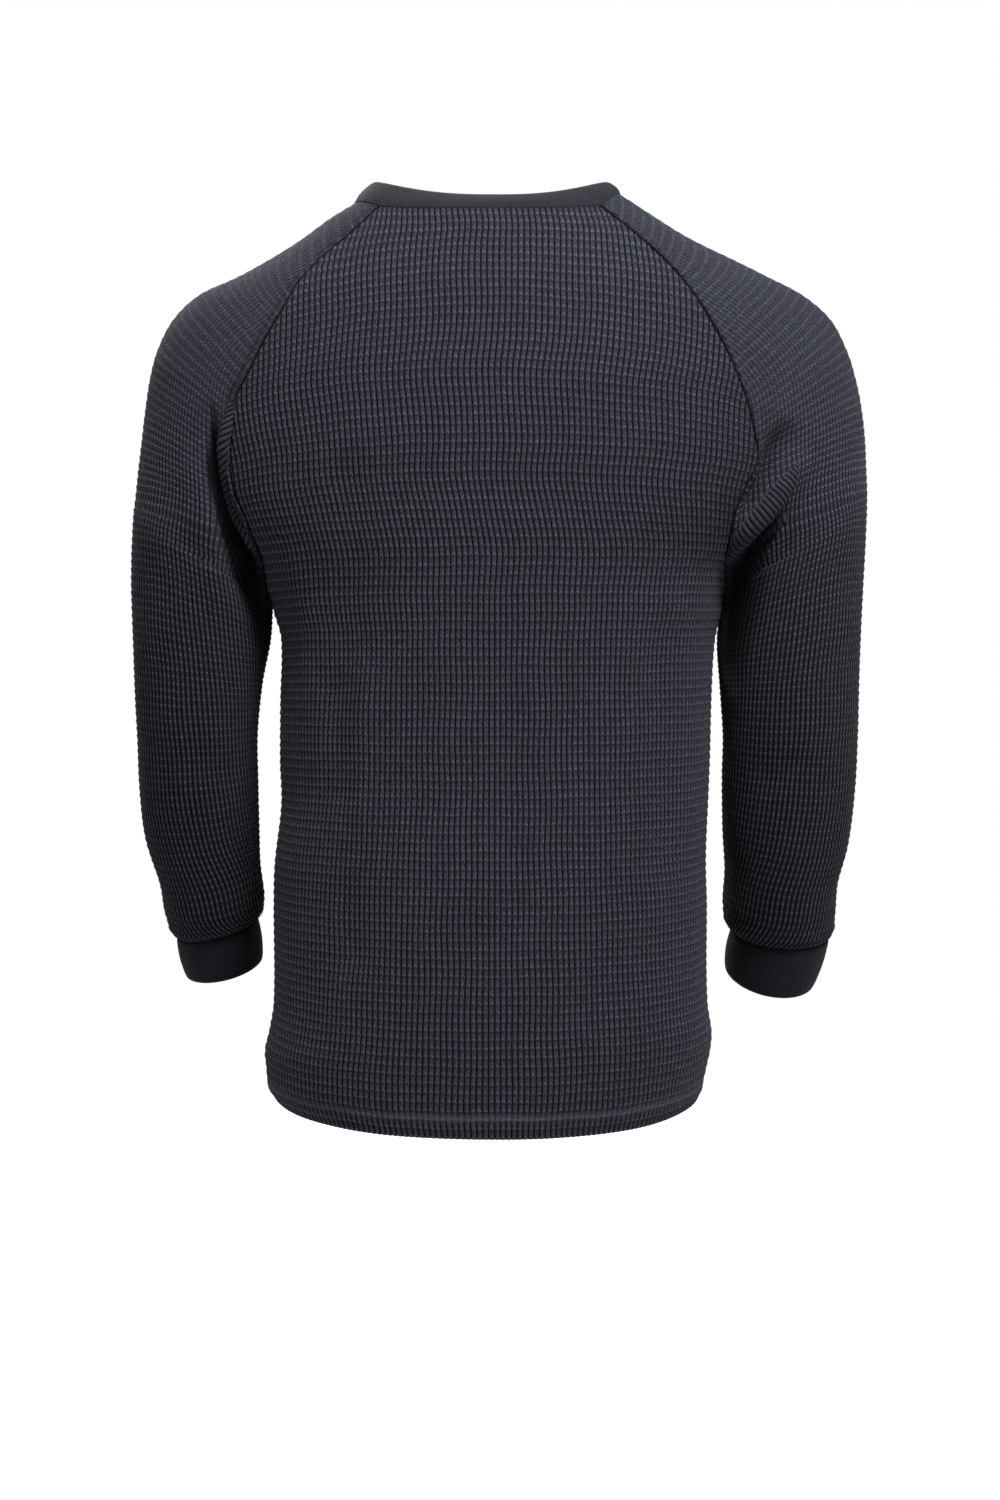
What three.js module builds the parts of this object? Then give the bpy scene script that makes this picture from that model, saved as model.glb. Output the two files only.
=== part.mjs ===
// Long-sleeved raglan thermal top, filled out as if worn, in millimetres with +Z up.
// The front faces -Y, the wearer's left is +X, and the origin is at the middle of
// the neck, level with the sides of the neckline.
// Every piece is one closed wall: an outer face, an inner face and a rim.
import * as THREE from 'three';

// Sizes
const WALL = 2.0; // cloth thickness
const SEAM_GAP = 0.3; // between two pieces that are sewn together
const HEM_SIDE_Z = -693;
const HEM_BACK_Z = -711.5;
const HEM_FRONT_Z = -703;
const HEM_ROW_POWER = 2.2; // how square the hem's dip is
const CHEST_ROW_POWER = 2;
const NECK_EDGE = { left: 95, right: 89, back: 55, front: 76 }; // half sizes of the free edge
const NECK_EDGE_Z = { side: 16, back: -3, front: -68 };
const NECK_EDGE_POWER = 2.4;
const BAND_BULGE = 2.5;
const CUFF_BULGE = 1.5;
const LEAST_ROUND = 0.8; // of a sleeve row's depth that is an even curve
const TUBE_HOLD = 0.5; // the outer half of a closed ring
const ARMPIT = 12; // the station at which a sleeve becomes a closed tube

// How finely the pieces are divided
const BACK_COLUMNS = 28;
const FRONT_COLUMNS = 16;
const SLEEVE_COLUMNS = 20;
const RINGS_BELOW_ARMPIT = 13;
const BAND_ROWS = 3;
const CUFF_ROWS = 4;
const YOKE_STATIONS = [12, 11.7, 11.35, 11, 10.5, 10, 9.4, 8.7, 8, 7, 6, 5, 4, 3, 2, 1, 0];
const TUBE_STATIONS = [12.3, 12.7, 13.2, 13.7, 14.3, 15, 16, 17, 18, 18.5, 19, 19.4, 19.8, 20];

/** Turns rows of numbers into objects that are read by column name. */
const table = (columns, rows) =>
  rows.map((row) => Object.fromEntries(columns.map((name, i) => [name, row[i]])));

// Level sections of the torso and yoke: half widths, depths and squareness
const TORSO = table(
  ['z', 'left', 'right', 'back', 'front', 'power'],
  [
    [-715, 157, 147, 131, 129, 2.3],
    [-700, 166.5, 154.5, 133, 131, 2.3],
    [-686, 175.5, 161, 134, 132, 2.3],
    [-672, 177, 164, 134, 132, 2.3],
    [-658, 178, 167, 134, 133, 2.3],
    [-644, 175, 168, 134, 133, 2.3],
    [-621, 171.6, 165, 133, 133, 2.3],
    [-543, 171.6, 164.6, 129, 131, 2.3],
    [-512, 171, 164, 127, 130, 2.3],
    [-466, 166, 166, 123, 128, 2.3],
    [-434, 167, 167, 121, 127, 2.3],
    [-387, 167, 168.5, 119, 127, 2.3],
    [-340, 166, 171, 118, 127, 2.3],
    [-320, 171.5, 175.5, 118, 127, 2.3],
    [-305, 176, 177, 118, 127, 2.3],
    [-285, 188, 184, 118, 127, 2.3],
    [-260, 212, 206, 119, 127, 2.25],
    [-230, 236, 236, 119, 127, 2.2],
    [-200, 252, 262, 119, 126, 2.12],
    [-170, 262, 274, 117, 122, 2.06],
    [-140, 264, 276, 114, 116, 2.03],
    [-110, 258, 268, 108, 106, 2.0],
    [-80, 236, 246, 101, 92, 1.92],
    [-55, 198, 206, 92, 80, 1.85],
    [-32, 158, 163, 82, 70, 1.82],
    [-12, 128, 128, 70, 62, 1.8],
    [10, 100, 95, 60, 54, 1.8],
  ],
);

// Raglan seams from the neck (station 0) to the armpit (station 12). The angles, in
// degrees, are round the level section from the side towards the middle.
const SEAM = table(
  ['station', 'zLeft', 'left', 'zRight', 'right', 'frontDrop', 'front', 'zBack', 'zFront'],
  [
    [0, -10.5, 44.8, -11, 50, 28, 61, -17, -88],
    [1, -29, 46, -29, 49.5, 26, 60.5, -30, -99],
    [2, -54, 47.5, -52, 51, 21, 60, -46, -111],
    [3, -86, 50, -80, 53, 14, 57, -68, -125],
    [4, -111, 49, -113, 51.5, 11, 53.6, -92, -139],
    [5, -139, 46, -142, 49, 8, 50, -119, -155],
    [6, -163, 42, -168, 46, 6, 46.3, -145, -172],
    [7, -187, 39.5, -190, 43, 5, 43, -171, -192],
    [8, -211, 36, -211, 39, 4, 40, -198, -212],
    [9, -233, 33, -234, 36.5, 3, 37, -224, -232],
    [10, -256, 30, -256, 31.5, 2, 33, -252, -255],
    [11, -283, 21, -280, 20, 0, 21, -281, -282],
    [12, -311, 0, -305, 0, 0, 0, -311, -311],
  ],
);

// Sleeves: the outer line (x, z), the line's y, the depth, how much of the row lies
// between the outer line and the middle, the lean of the rings in degrees, and for
// the closed rings the inner line (innerX, innerZ).
const SLEEVE_TABLE = ['station', 'x', 'z', 'y', 'depth', 'hold', 'lean', 'innerX', 'innerZ'];
const SLEEVE_LEFT = table(SLEEVE_TABLE, [
  [0, 110, -1, -4, 35, 1, 0, 0, 0],
  [1, 129, -13, -5, 43, 1, 0, 0, 0],
  [2, 156.5, -33, -6, 50, 1, 0, 0, 0],
  [3, 197.5, -56.5, -6, 58, 1, 0, 0, 0],
  [4, 230, -71, -6, 64, 1, 0, 0, 0],
  [5, 251, -90.5, -6, 66, 1, 0, 0, 0],
  [6, 263, -114, -5, 68, 1, 0, 0, 0],
  [7, 269, -137, -5, 70, 0.98, 0, 0, 0],
  [8, 272.5, -161, -4, 71, 0.93, 0, 0, 0],
  [9, 275.2, -184, -3, 71, 0.86, 0, 0, 0],
  [10, 278, -207.5, -2, 70, 0.76, 0, 0, 0],
  [11, 280.2, -230, -1, 68, 0.61, 0, 0, 0],
  [12, 281.8, -250, 0, 66, 0.5, 0, 173.2, -311],
  [13, 283.4, -301, -2, 62, 0.5, 2, 174.9, -340],
  [14, 281.6, -365, -6, 59, 0.5, 5, 182.2, -375],
  [15, 280, -414, -12, 57, 0.5, 8, 186.6, -414],
  [16, 279.5, -453.2, -20, 55, 0.5, 11, 186.7, -449.2],
  [17, 275.8, -493, -30, 52, 0.5, 14, 186.6, -484.8],
  [18, 266, -529, -40, 48, 0.5, 16, 186.7, -517.2],
  [19, 263, -553.8, -50, 44, 0.5, 18, 184.4, -545.6],
  [20, 254.3, -573.6, -55, 34, 0.5, 18, 190.3, -558.3],
]);
const SLEEVE_RIGHT = table(SLEEVE_TABLE, [
  [0, 98, 6, -4, 35, 1, 0, 0, 0],
  [1, 126, -12, -5, 43, 1, 0, 0, 0],
  [2, 159.4, -32, -6, 50, 1, 0, 0, 0],
  [3, 207, -55, -6, 58, 1, 0, 0, 0],
  [4, 239, -71, -6, 64, 1, 0, 0, 0],
  [5, 262, -90.5, -6, 66, 1, 0, 0, 0],
  [6, 274.6, -114, -5, 68, 1, 0, 0, 0],
  [7, 281.6, -137, -5, 70, 0.98, 0, 0, 0],
  [8, 286, -161, -4, 71, 0.93, 0, 0, 0],
  [9, 288.6, -184, -3, 71, 0.86, 0, 0, 0],
  [10, 289.6, -206, -2, 70, 0.76, 0, 0, 0],
  [11, 290, -225, -1, 68, 0.61, 0, 0, 0],
  [12, 289.4, -243, 0, 66, 0.5, 0, 177, -305],
  [13, 287.2, -301, -2, 62, 0.5, 2, 173.4, -340],
  [14, 284.6, -365, -6, 59, 0.5, 5, 176, -375],
  [15, 284.4, -414, -12, 57, 0.5, 8, 178.8, -414],
  [16, 283.3, -453.2, -20, 55, 0.5, 11, 178.6, -449.2],
  [17, 279, -497, -30, 53, 0.5, 14, 180.2, -488.8],
  [18, 271.8, -528.8, -40, 50, 0.5, 16, 182.6, -521.2],
  [19, 271, -555, -50, 46, 0.5, 18, 181.8, -549.5],
  [20, 266.9, -574.7, -55, 37, 0.5, 18, 188.5, -569.9],
]);

// The free ends of the cuffs
const CUFF_END_LEFT = { x: 248.4, z: -604.2, y: -66, depth: 33, lean: 20, innerX: 186.5, innerZ: -592.8 };
const CUFF_END_RIGHT = { x: 256.8, z: -610, y: -68, depth: 35, lean: 30, innerX: 184.6, innerZ: -600 };

// The largest folds, on the pieces' back or front: soft ridges (rise above 0) and troughs
// along a line of points, each with the fold's width and rise there
const FOLD_COLUMNS = ['x', 'z', 'width', 'rise'];
const fold = (face, rows) => ({ face, line: table(FOLD_COLUMNS, rows) });
const BODY_FOLDS = [
  fold('back', [
    [109, -200, 14, 0], [109, -224, 15, -3.2], [107, -275, 15, -3.2], [113, -350, 15, -2.5],
    [116, -385, 14, 0],
  ]),
  fold('back', [
    [155, -270, 11, 0], [152, -290, 12, 3.5], [138, -342, 12, 3.5], [141, -362, 11, 3],
    [130, -425, 12, 2.5], [124, -460, 12, 0],
  ]),
  fold('back', [[124, -360, 10, 0], [123, -378, 12, -3], [121, -440, 12, -3], [120, -470, 12, 0]]),
  fold('back', [[96, -350, 8, 0], [97, -370, 9, 2.5], [99.5, -470, 9, 2.5], [100, -500, 9, 0]]),
  fold('back', [[107, -515, 12, 0], [106, -535, 13, -3], [108, -580, 13, -3], [108, -600, 12, 0]]),
  fold('back', [
    [-122, -315, 13, 0], [-124, -345, 15, -3.5], [-125, -430, 15, -3], [-126, -500, 15, -3],
    [-126, -530, 14, 0],
  ]),
  fold('back', [[-19, -385, 16, 0], [-19, -405, 16, -1.5], [-19, -545, 16, -1.5], [-19, -570, 16, 0]]),
  fold('back', [[10, -390, 16, 0], [10, -410, 16, 1.2], [11, -545, 16, 1.2], [12, -565, 16, 0]]),
  fold('front', [[124, -215, 14, 0], [116, -250, 16, -3.5], [98, -370, 16, -3.5], [94, -410, 14, 0]]),
  fold('front', [[91, -280, 14, 0], [90, -310, 15, 2.5], [84, -440, 15, 2.5], [82, -470, 14, 0]]),
  fold('front', [[-120, -225, 14, 0], [-114, -260, 16, -3.5], [-99, -360, 16, -3.5], [-94, -395, 14, 0]]),
  fold('front', [[-91, -310, 14, 0], [-93, -340, 15, 2.5], [-100, -510, 15, 2.5], [-102, -540, 14, 0]]),
  fold('front', [[20, -360, 16, 0], [18, -390, 18, -1.5], [12, -550, 18, -1.5], [10, -580, 16, 0]]),
];
const SLEEVE_FOLDS_LEFT = [
  fold('back', [
    [218, -172, 6, 0], [216, -191, 6, -4], [213, -214, 8, -10], [206, -236, 9, -15],
    [199, -262, 9, -16], [188, -290, 10, -13], [176, -320, 12, -6], [178, -350, 12, 0],
  ]),
  fold('back', [
    [232, -190, 10, 0], [229, -215, 12, 3.5], [222, -255, 12, 4], [208, -305, 12, 3],
    [202, -335, 12, 0],
  ]),
  fold('back', [[240, -426, 12, 0], [228, -432, 13, -2.5], [206, -444, 13, -2], [196, -449, 12, 0]]),
  fold('front', [
    [226, -180, 9, 0], [220, -205, 11, -7], [208, -250, 12, -9], [194, -285, 11, -6],
    [186, -310, 11, 0],
  ]),
  fold('front', [[252, -225, 12, 0], [242, -242, 14, 4], [216, -288, 14, 4], [204, -310, 12, 0]]),
  fold('front', [[248, -417, 10, 0], [236, -421, 12, -4], [206, -433, 12, -4], [196, -438, 10, 0]]),
  fold('front', [[244, -443, 10, 0], [232, -447, 12, 3], [204, -459, 12, 3], [194, -464, 10, 0]]),
];
const SLEEVE_FOLDS_RIGHT = [
  fold('back', [
    [-226, -184, 9, 0], [-215, -200, 10, -8], [-200, -222, 10, -10], [-189, -243, 8, -7],
    [-184, -256, 6, 0],
  ]),
  fold('back', [
    [-242, -198, 8, 0], [-230, -212, 9, 6], [-214, -234, 9, 8], [-200, -250, 8, 8],
    [-190, -262, 7, 7], [-181, -276, 6, 4], [-174, -290, 5, 0],
  ]),
  fold('back', [
    [-218, -248, 5, 0], [-209, -254, 6, -8], [-199, -263, 7, -12], [-188, -276, 8, -14],
    [-180, -295, 10, -12], [-177, -320, 10, 0],
  ]),
  fold('back', [[-246, -428, 12, 0], [-232, -438, 13, -2.5], [-208, -447, 13, -2], [-198, -451, 12, 0]]),
  fold('front', [
    [-230, -180, 9, 0], [-223, -205, 11, -7], [-208, -248, 12, -9], [-195, -282, 11, -6],
    [-187, -308, 11, 0],
  ]),
  fold('front', [[-254, -225, 12, 0], [-244, -242, 14, 4], [-218, -286, 14, 4], [-206, -306, 12, 0]]),
  fold('front', [[-246, -420, 10, 0], [-236, -425, 12, -4], [-204, -437, 12, -4], [-194, -441, 10, 0]]),
  fold('front', [[-244, -446, 10, 0], [-232, -451, 12, 3], [-202, -463, 12, 3], [-192, -468, 10, 0]]),
];
const FOLD_FADE = 28; // distance over which a fold dies out at an open edge
const SAME_PLACE = 0.01; // points of two pieces that are closer than this are one seam point

const radians = (degrees) => (degrees * Math.PI) / 180;
const mix = (a, b, t) => a + (b - a) * t;
const clamp = (value, low, high) => Math.min(high, Math.max(low, value));

/** Reads one column of a table at any value of its key, along a smooth curve. */
function read(rows, key, column, at) {
  const up = rows[0][key] < rows[rows.length - 1][key];
  const value = clamp(at, up ? rows[0][key] : rows.at(-1)[key], up ? rows.at(-1)[key] : rows[0][key]);
  let i = rows.findIndex((row) => (up ? row[key] >= value : row[key] <= value));
  i = clamp(i - 1, 0, rows.length - 2);
  const slope = (k) => {
    const low = rows[Math.max(k - 1, 0)];
    const high = rows[Math.min(k + 1, rows.length - 1)];
    return (high[column] - low[column]) / (high[key] - low[key]);
  };
  const span = rows[i + 1][key] - rows[i][key];
  const t = (value - rows[i][key]) / span;
  const t2 = t * t;
  const t3 = t2 * t;
  return (
    rows[i][column] * (2 * t3 - 3 * t2 + 1) +
    slope(i) * span * (t3 - 2 * t2 + t) +
    rows[i + 1][column] * (3 * t2 - 2 * t3) +
    slope(i + 1) * span * (t3 - t2)
  );
}

/** A point of the torso's level section, at an angle from the side (0) to the other side. */
function torsoPoint(face, angle, z) {
  const across = Math.cos(angle);
  const power = read(TORSO, 'z', 'power', z);
  const half = read(TORSO, 'z', across > 0 ? 'left' : 'right', z);
  const depth = read(TORSO, 'z', face, z) * Math.max(0, 1 - Math.abs(across) ** power) ** (1 / power);
  return new THREE.Vector3(half * across, face === 'back' ? depth : -depth, z);
}

/** The ends of a panel's row at a raglan station: heights and angles on both sides. */
function seamEnds(face, station) {
  const get = (column) => read(SEAM, 'station', column, station);
  const drop = face === 'front' ? get('frontDrop') : 0;
  return {
    zLeft: get('zLeft') - drop,
    zRight: get('zRight') - drop,
    left: radians(get(face === 'front' ? 'front' : 'left')),
    right: radians(get(face === 'front' ? 'front' : 'right')),
    zMiddle: get(face === 'front' ? 'zFront' : 'zBack'),
    power: CHEST_ROW_POWER,
  };
}

/** One row of points of a body panel, from the wearer's left to the right. */
function bodyRow(face, ends, columns) {
  return Array.from({ length: columns + 1 }, (_, i) => {
    const s = i / columns;
    const zEnd = s < 0.5 ? ends.zLeft : ends.zRight;
    const z = mix(ends.zMiddle, zEnd, Math.abs(2 * s - 1) ** ends.power);
    return torsoPoint(face, mix(ends.left, Math.PI - ends.right, s), z);
  });
}

/** All the rows of a body panel, from the hem to the neck. */
function bodyRows(face, columns) {
  const armpit = seamEnds(face, ARMPIT);
  const hemMiddle = face === 'back' ? HEM_BACK_Z : HEM_FRONT_Z;
  const rows = [];
  for (let i = 0; i < RINGS_BELOW_ARMPIT; i++) {
    const t = i / RINGS_BELOW_ARMPIT;
    rows.push(
      bodyRow(
        face,
        {
          zLeft: mix(HEM_SIDE_Z, armpit.zLeft, t),
          zRight: mix(HEM_SIDE_Z, armpit.zRight, t),
          left: 0,
          right: 0,
          zMiddle: mix(hemMiddle, armpit.zMiddle, t),
          power: mix(HEM_ROW_POWER, CHEST_ROW_POWER, t),
        },
        columns,
      ),
    );
  }
  YOKE_STATIONS.forEach((station) => rows.push(bodyRow(face, seamEnds(face, station), columns)));
  return rows;
}

/** Half a sleeve row, from the seam (or the inner line) to the outer line. */
function halfSleeve(start, ring, face, t) {
  const sign = face === 'back' ? 1 : -1;
  const acrossX = ring.x - start.x;
  const acrossZ = ring.z - start.z;
  const startCos = -(1 - ring.hold) / ring.hold;
  const startAngle = Math.acos(clamp(startCos, -1, 0));
  const angle = startAngle * (1 - t);
  const reach = sign * (start.y - ring.y);
  const round = Math.max(ring.depth, LEAST_ROUND * reach);
  const miss = reach - round * Math.sin(startAngle);
  const depth = round * Math.sin(angle) + miss * (angle / startAngle) ** 2;
  const part = 1 - ring.hold + ring.hold * Math.cos(angle);
  return new THREE.Vector3(
    start.x + acrossX * part,
    ring.y + sign * depth * Math.cos(ring.lean),
    start.z + acrossZ * part - sign * depth * Math.sin(ring.lean),
  );
}

/** One row of points of a sleeve, from the back seam over the outer line to the front seam. */
function sleeveRow(side, rows, station, columns) {
  const get = (column) => read(rows, 'station', column, station);
  const sign = side === 'left' ? 1 : -1;
  const ring = {
    x: sign * get('x'),
    y: get('y'),
    z: get('z'),
    depth: get('depth'),
    hold: station < ARMPIT ? get('hold') : TUBE_HOLD,
    lean: station < ARMPIT ? 0 : radians(get('lean')),
  };
  const start = (face) => {
    if (station > ARMPIT) {
      const lower = rows.slice(ARMPIT);
      const inner = (column) => read(lower, 'station', column, station);
      return new THREE.Vector3(sign * inner('innerX'), ring.y, inner('innerZ'));
    }
    const ends = seamEnds(face, station);
    return side === 'left'
      ? torsoPoint(face, ends.left, ends.zLeft)
      : torsoPoint(face, Math.PI - ends.right, ends.zRight);
  };
  const half = columns / 2;
  return Array.from({ length: columns + 1 }, (_, i) =>
    i <= half
      ? halfSleeve(start('back'), ring, 'back', i / half)
      : halfSleeve(start('front'), ring, 'front', (columns - i) / half),
  );
}

/** All the rows of a sleeve, from the neck to the cuff seam. */
function sleeveRows(side, rows) {
  const stations = [...[...YOKE_STATIONS].reverse(), ...TUBE_STATIONS];
  return stations.map((station) => sleeveRow(side, rows, station, SLEEVE_COLUMNS));
}

/** The rows of a cuff, from its seam with the sleeve to its free end. */
function cuffRows(side, seamRow, end) {
  const sign = side === 'left' ? 1 : -1;
  const ring = { ...end, x: sign * end.x, hold: TUBE_HOLD, lean: radians(end.lean) };
  const inner = new THREE.Vector3(sign * end.innerX, end.y, end.innerZ);
  const half = (seamRow.length - 1) / 2;
  const endRow = seamRow.map((_, i) =>
    i <= half
      ? halfSleeve(inner, ring, 'back', i / half)
      : halfSleeve(inner, ring, 'front', (2 * half - i) / half),
  );
  return bulged(seamRow, endRow, CUFF_ROWS, CUFF_BULGE);
}

/** Rows between two loops, swelling a little in the middle. */
function bulged(first, last, count, bulge) {
  const middle = first.reduce((sum, p) => sum.add(p), new THREE.Vector3()).divideScalar(first.length);
  return Array.from({ length: count + 1 }, (_, row) => {
    const t = row / count;
    return first.map((p, i) => {
      const out = p.clone().sub(middle).setZ(0).normalize();
      return p.clone().lerp(last[i], t).addScaledVector(out, bulge * Math.sin(Math.PI * t));
    });
  });
}

/** The rows of the neckband, from its seam to its free edge. */
function bandRows(seamRow) {
  const edge = seamRow.map((p) => {
    const face = p.y > 0 ? 'back' : 'front';
    const angle = Math.atan2(p.y / NECK_EDGE[face], p.x / (p.x > 0 ? NECK_EDGE.left : NECK_EDGE.right));
    const across = Math.cos(angle);
    return new THREE.Vector3(
      across * (across > 0 ? NECK_EDGE.left : NECK_EDGE.right),
      Math.sin(angle) * NECK_EDGE[face],
      mix(NECK_EDGE_Z[face], NECK_EDGE_Z.side, Math.abs(across) ** NECK_EDGE_POWER),
    );
  });
  return bulged(seamRow, edge, BAND_ROWS, BAND_BULGE);
}

/** Joins a grid of rows into numbered points and triangles that face outwards. */
function surface(rows, { closedFrom = Infinity, flip = false } = {}) {
  const points = [];
  const numbers = rows.map((row, r) => {
    const closed = r >= closedFrom;
    const used = closed ? row.slice(0, -1) : row;
    const ids = used.map((p) => points.push(p.clone()) - 1);
    return closed ? [...ids, ids[0]] : ids;
  });
  const triangles = [];
  for (let r = 0; r + 1 < rows.length; r++) {
    for (let c = 0; c + 1 < rows[r].length; c++) {
      const quad = [numbers[r][c], numbers[r][c + 1], numbers[r + 1][c + 1], numbers[r + 1][c]];
      if (flip) {
        quad.reverse();
      }
      triangles.push([quad[0], quad[1], quad[2]], [quad[0], quad[2], quad[3]]);
    }
  }
  return { points, triangles };
}

/** The outward direction at each point of a surface. */
function normals({ points, triangles }) {
  const out = points.map(() => new THREE.Vector3());
  const edge = new THREE.Vector3();
  for (const [a, b, c] of triangles) {
    edge.subVectors(points[c], points[a]);
    const face = new THREE.Vector3().subVectors(points[b], points[a]).cross(edge);
    [a, b, c].forEach((i) => out[i].add(face));
  }
  return out.map((n) => n.normalize());
}

/** The open edges of a surface, in the order in which its triangles run round. */
function openEdges({ triangles }) {
  const edges = new Map();
  for (const [a, b, c] of triangles) {
    for (const [from, to] of [[a, b], [b, c], [c, a]]) {
      const back = `${to} ${from}`;
      if (!edges.delete(back)) {
        edges.set(`${from} ${to}`, [from, to]);
      }
    }
  }
  return [...edges.values()];
}

/** How much a fold raises a point, seen from the front or back. */
function foldLift(p, { line }) {
  let nearest = Infinity;
  let lift = 0;
  for (let i = 0; i + 1 < line.length; i++) {
    const dx = line[i + 1].x - line[i].x;
    const dz = line[i + 1].z - line[i].z;
    const along = ((p.x - line[i].x) * dx + (p.z - line[i].z) * dz) / (dx * dx + dz * dz);
    const t = clamp(along, 0, 1);
    const away = Math.hypot(p.x - line[i].x - t * dx, p.z - line[i].z - t * dz);
    if (away < nearest) {
      nearest = away;
      const width = mix(line[i].width, line[i + 1].width, t);
      lift = mix(line[i].rise, line[i + 1].rise, t) * Math.exp(-((away / width) ** 2));
    }
  }
  return lift;
}

/** Raises the folds on a surface, less and less towards its open edges. */
function addFolds(piece, folds) {
  const out = normals(piece);
  const rim = [...new Set(openEdges(piece).flat())].map((i) => piece.points[i].clone());
  const moves = piece.points.map((p, i) => {
    const face = out[i].y > 0 ? 'back' : 'front';
    const edge = Math.min(...rim.map((q) => q.distanceTo(p)));
    const fade = THREE.MathUtils.smoothstep(edge, 0, FOLD_FADE);
    const lift = folds
      .filter((line) => line.face === face)
      .reduce((sum, line) => sum + foldLift(p, line), 0);
    return lift * fade * Math.abs(out[i].y);
  });
  piece.points.forEach((p, i) => p.addScaledVector(out[i], moves[i]));
  return piece;
}

/** A name for a place, so that two pieces can find the points that they share. */
const spot = (p) => p.toArray().map((value) => Math.round(value / SAME_PLACE)).join(' ');

/** Notes for every rim point where its own cloth lies, so that neighbours can part there. */
function rimNotes(piece) {
  const out = normals(piece);
  const rim = new Set(openEdges(piece).flat());
  const into = new Map([...rim].map((i) => [i, new THREE.Vector3()]));
  const beside = new Map([...rim].map((i) => [i, new Set()]));
  for (const triangle of piece.triangles) {
    for (const i of triangle.filter((id) => rim.has(id))) {
      for (const j of triangle.filter((id) => id !== i)) {
        const step = new THREE.Vector3().subVectors(piece.points[j], piece.points[i]).normalize();
        into.get(i).add(step);
        if (rim.has(j)) {
          beside.get(i).add(spot(piece.points[j]));
        }
      }
    }
  }
  return new Map(
    [...rim].map((i) => [
      spot(piece.points[i]),
      { i, out: out[i], into: into.get(i).normalize(), beside: beside.get(i), at: piece.points[i].clone() },
    ]),
  );
}

/** Parts sewn pieces by the seam gap and returns the inward directions of every piece. */
function partSeams(pieces) {
  const notes = pieces.map(rimNotes);
  return pieces.map((piece, self) => {
    const out = normals(piece);
    for (const [key, mine] of notes[self]) {
      const shift = new THREE.Vector3();
      const lean = mine.out.clone();
      notes.forEach((others, k) => {
        const theirs = others.get(key);
        if (k === self || !theirs) {
          return;
        }
        const shared = [...mine.beside].filter((name) => theirs.beside.has(name));
        const across = [mine.into.clone(), theirs.into.clone()];
        if (shared.length > 0) {
          const line = shared.map((name) => notes[self].get(name).at);
          const along = line[0].clone().sub(line[1] ?? mine.at).normalize();
          across.forEach((v) => v.addScaledVector(along, -v.dot(along)).normalize());
        }
        const away = across[0].sub(across[1]);
        away.normalize();
        shift.addScaledVector(away, SEAM_GAP / 2);
        const over = lean.dot(away);
        if (over > 0) {
          lean.addScaledVector(away, -over).normalize();
        }
      });
      piece.points[mine.i].add(shift);
      out[mine.i].copy(lean);
    }
    return out;
  });
}

/** One closed wall from a surface: outer face, inner face and rim. */
function wall(name, piece, out, colour) {
  const count = piece.points.length;
  const inner = piece.points.map((p, i) => p.clone().addScaledVector(out[i], -WALL));
  const points = [...piece.points, ...inner];
  const triangles = [...piece.triangles];
  piece.triangles.forEach(([a, b, c]) => triangles.push([a + count, c + count, b + count]));
  openEdges(piece).forEach(([a, b]) => triangles.push([b, a, a + count], [b, a + count, b + count]));
  const geometry = new THREE.BufferGeometry();
  geometry.setAttribute('position', new THREE.Float32BufferAttribute(points.flatMap((p) => p.toArray()), 3));
  geometry.setIndex(triangles.flat());
  geometry.computeVertexNormals();
  const mesh = new THREE.Mesh(geometry, new THREE.MeshStandardMaterial({ color: colour, roughness: 0.9 }));
  mesh.name = name;
  return mesh;
}

const WAFFLE_COLOUR = 0x34363f;
const BAND_COLOUR = 0x40414a;
const CUFF_COLOUR = 0x24262d;

const back = bodyRows('back', BACK_COLUMNS);
const front = bodyRows('front', FRONT_COLUMNS);
const left = sleeveRows('left', SLEEVE_LEFT);
const right = sleeveRows('right', SLEEVE_RIGHT);
const neckSeam = [
  ...back.at(-1).slice(0, -1),
  ...right[0].slice(0, -1),
  ...[...front.at(-1)].reverse().slice(0, -1),
  ...[...left[0]].reverse(),
];

const closedFrom = YOKE_STATIONS.length - 1;
const pieces = [
  ['back_panel', addFolds(surface(back), BODY_FOLDS), WAFFLE_COLOUR],
  ['front_panel', addFolds(surface(front, { flip: true }), BODY_FOLDS), WAFFLE_COLOUR],
  ['sleeve_left', addFolds(surface(left, { closedFrom }), SLEEVE_FOLDS_LEFT), WAFFLE_COLOUR],
  ['sleeve_right', addFolds(surface(right, { closedFrom, flip: true }), SLEEVE_FOLDS_RIGHT), WAFFLE_COLOUR],
  ['cuff_left', surface(cuffRows('left', left.at(-1), CUFF_END_LEFT), { closedFrom: 0 }), CUFF_COLOUR],
  [
    'cuff_right',
    surface(cuffRows('right', right.at(-1), CUFF_END_RIGHT), { closedFrom: 0, flip: true }),
    CUFF_COLOUR,
  ],
  ['neckband', surface(bandRows(neckSeam), { closedFrom: 0 }), BAND_COLOUR],
];
const inward = partSeams(pieces.map(([, piece]) => piece));

const group = new THREE.Group();
group.name = 'thermal_top';
pieces.forEach(([name, piece, colour], i) => group.add(wall(name, piece, inward[i], colour)));

export default group;
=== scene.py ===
"""Looks of the long-sleeved thermal top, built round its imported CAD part.

Sizes are in millimetres with +Z up, the front facing -Y and the wearer's left at +X, as in
the part's source. Each cut piece is a closed shell whose outer face carries the waffle knit
as real relief: its mesh follows the knit's own columns and rows, which the seams cut off.
"""

import logging
import math
from dataclasses import dataclass, field
from enum import Enum

import bpy
import numpy as np
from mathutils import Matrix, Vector, kdtree


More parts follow.
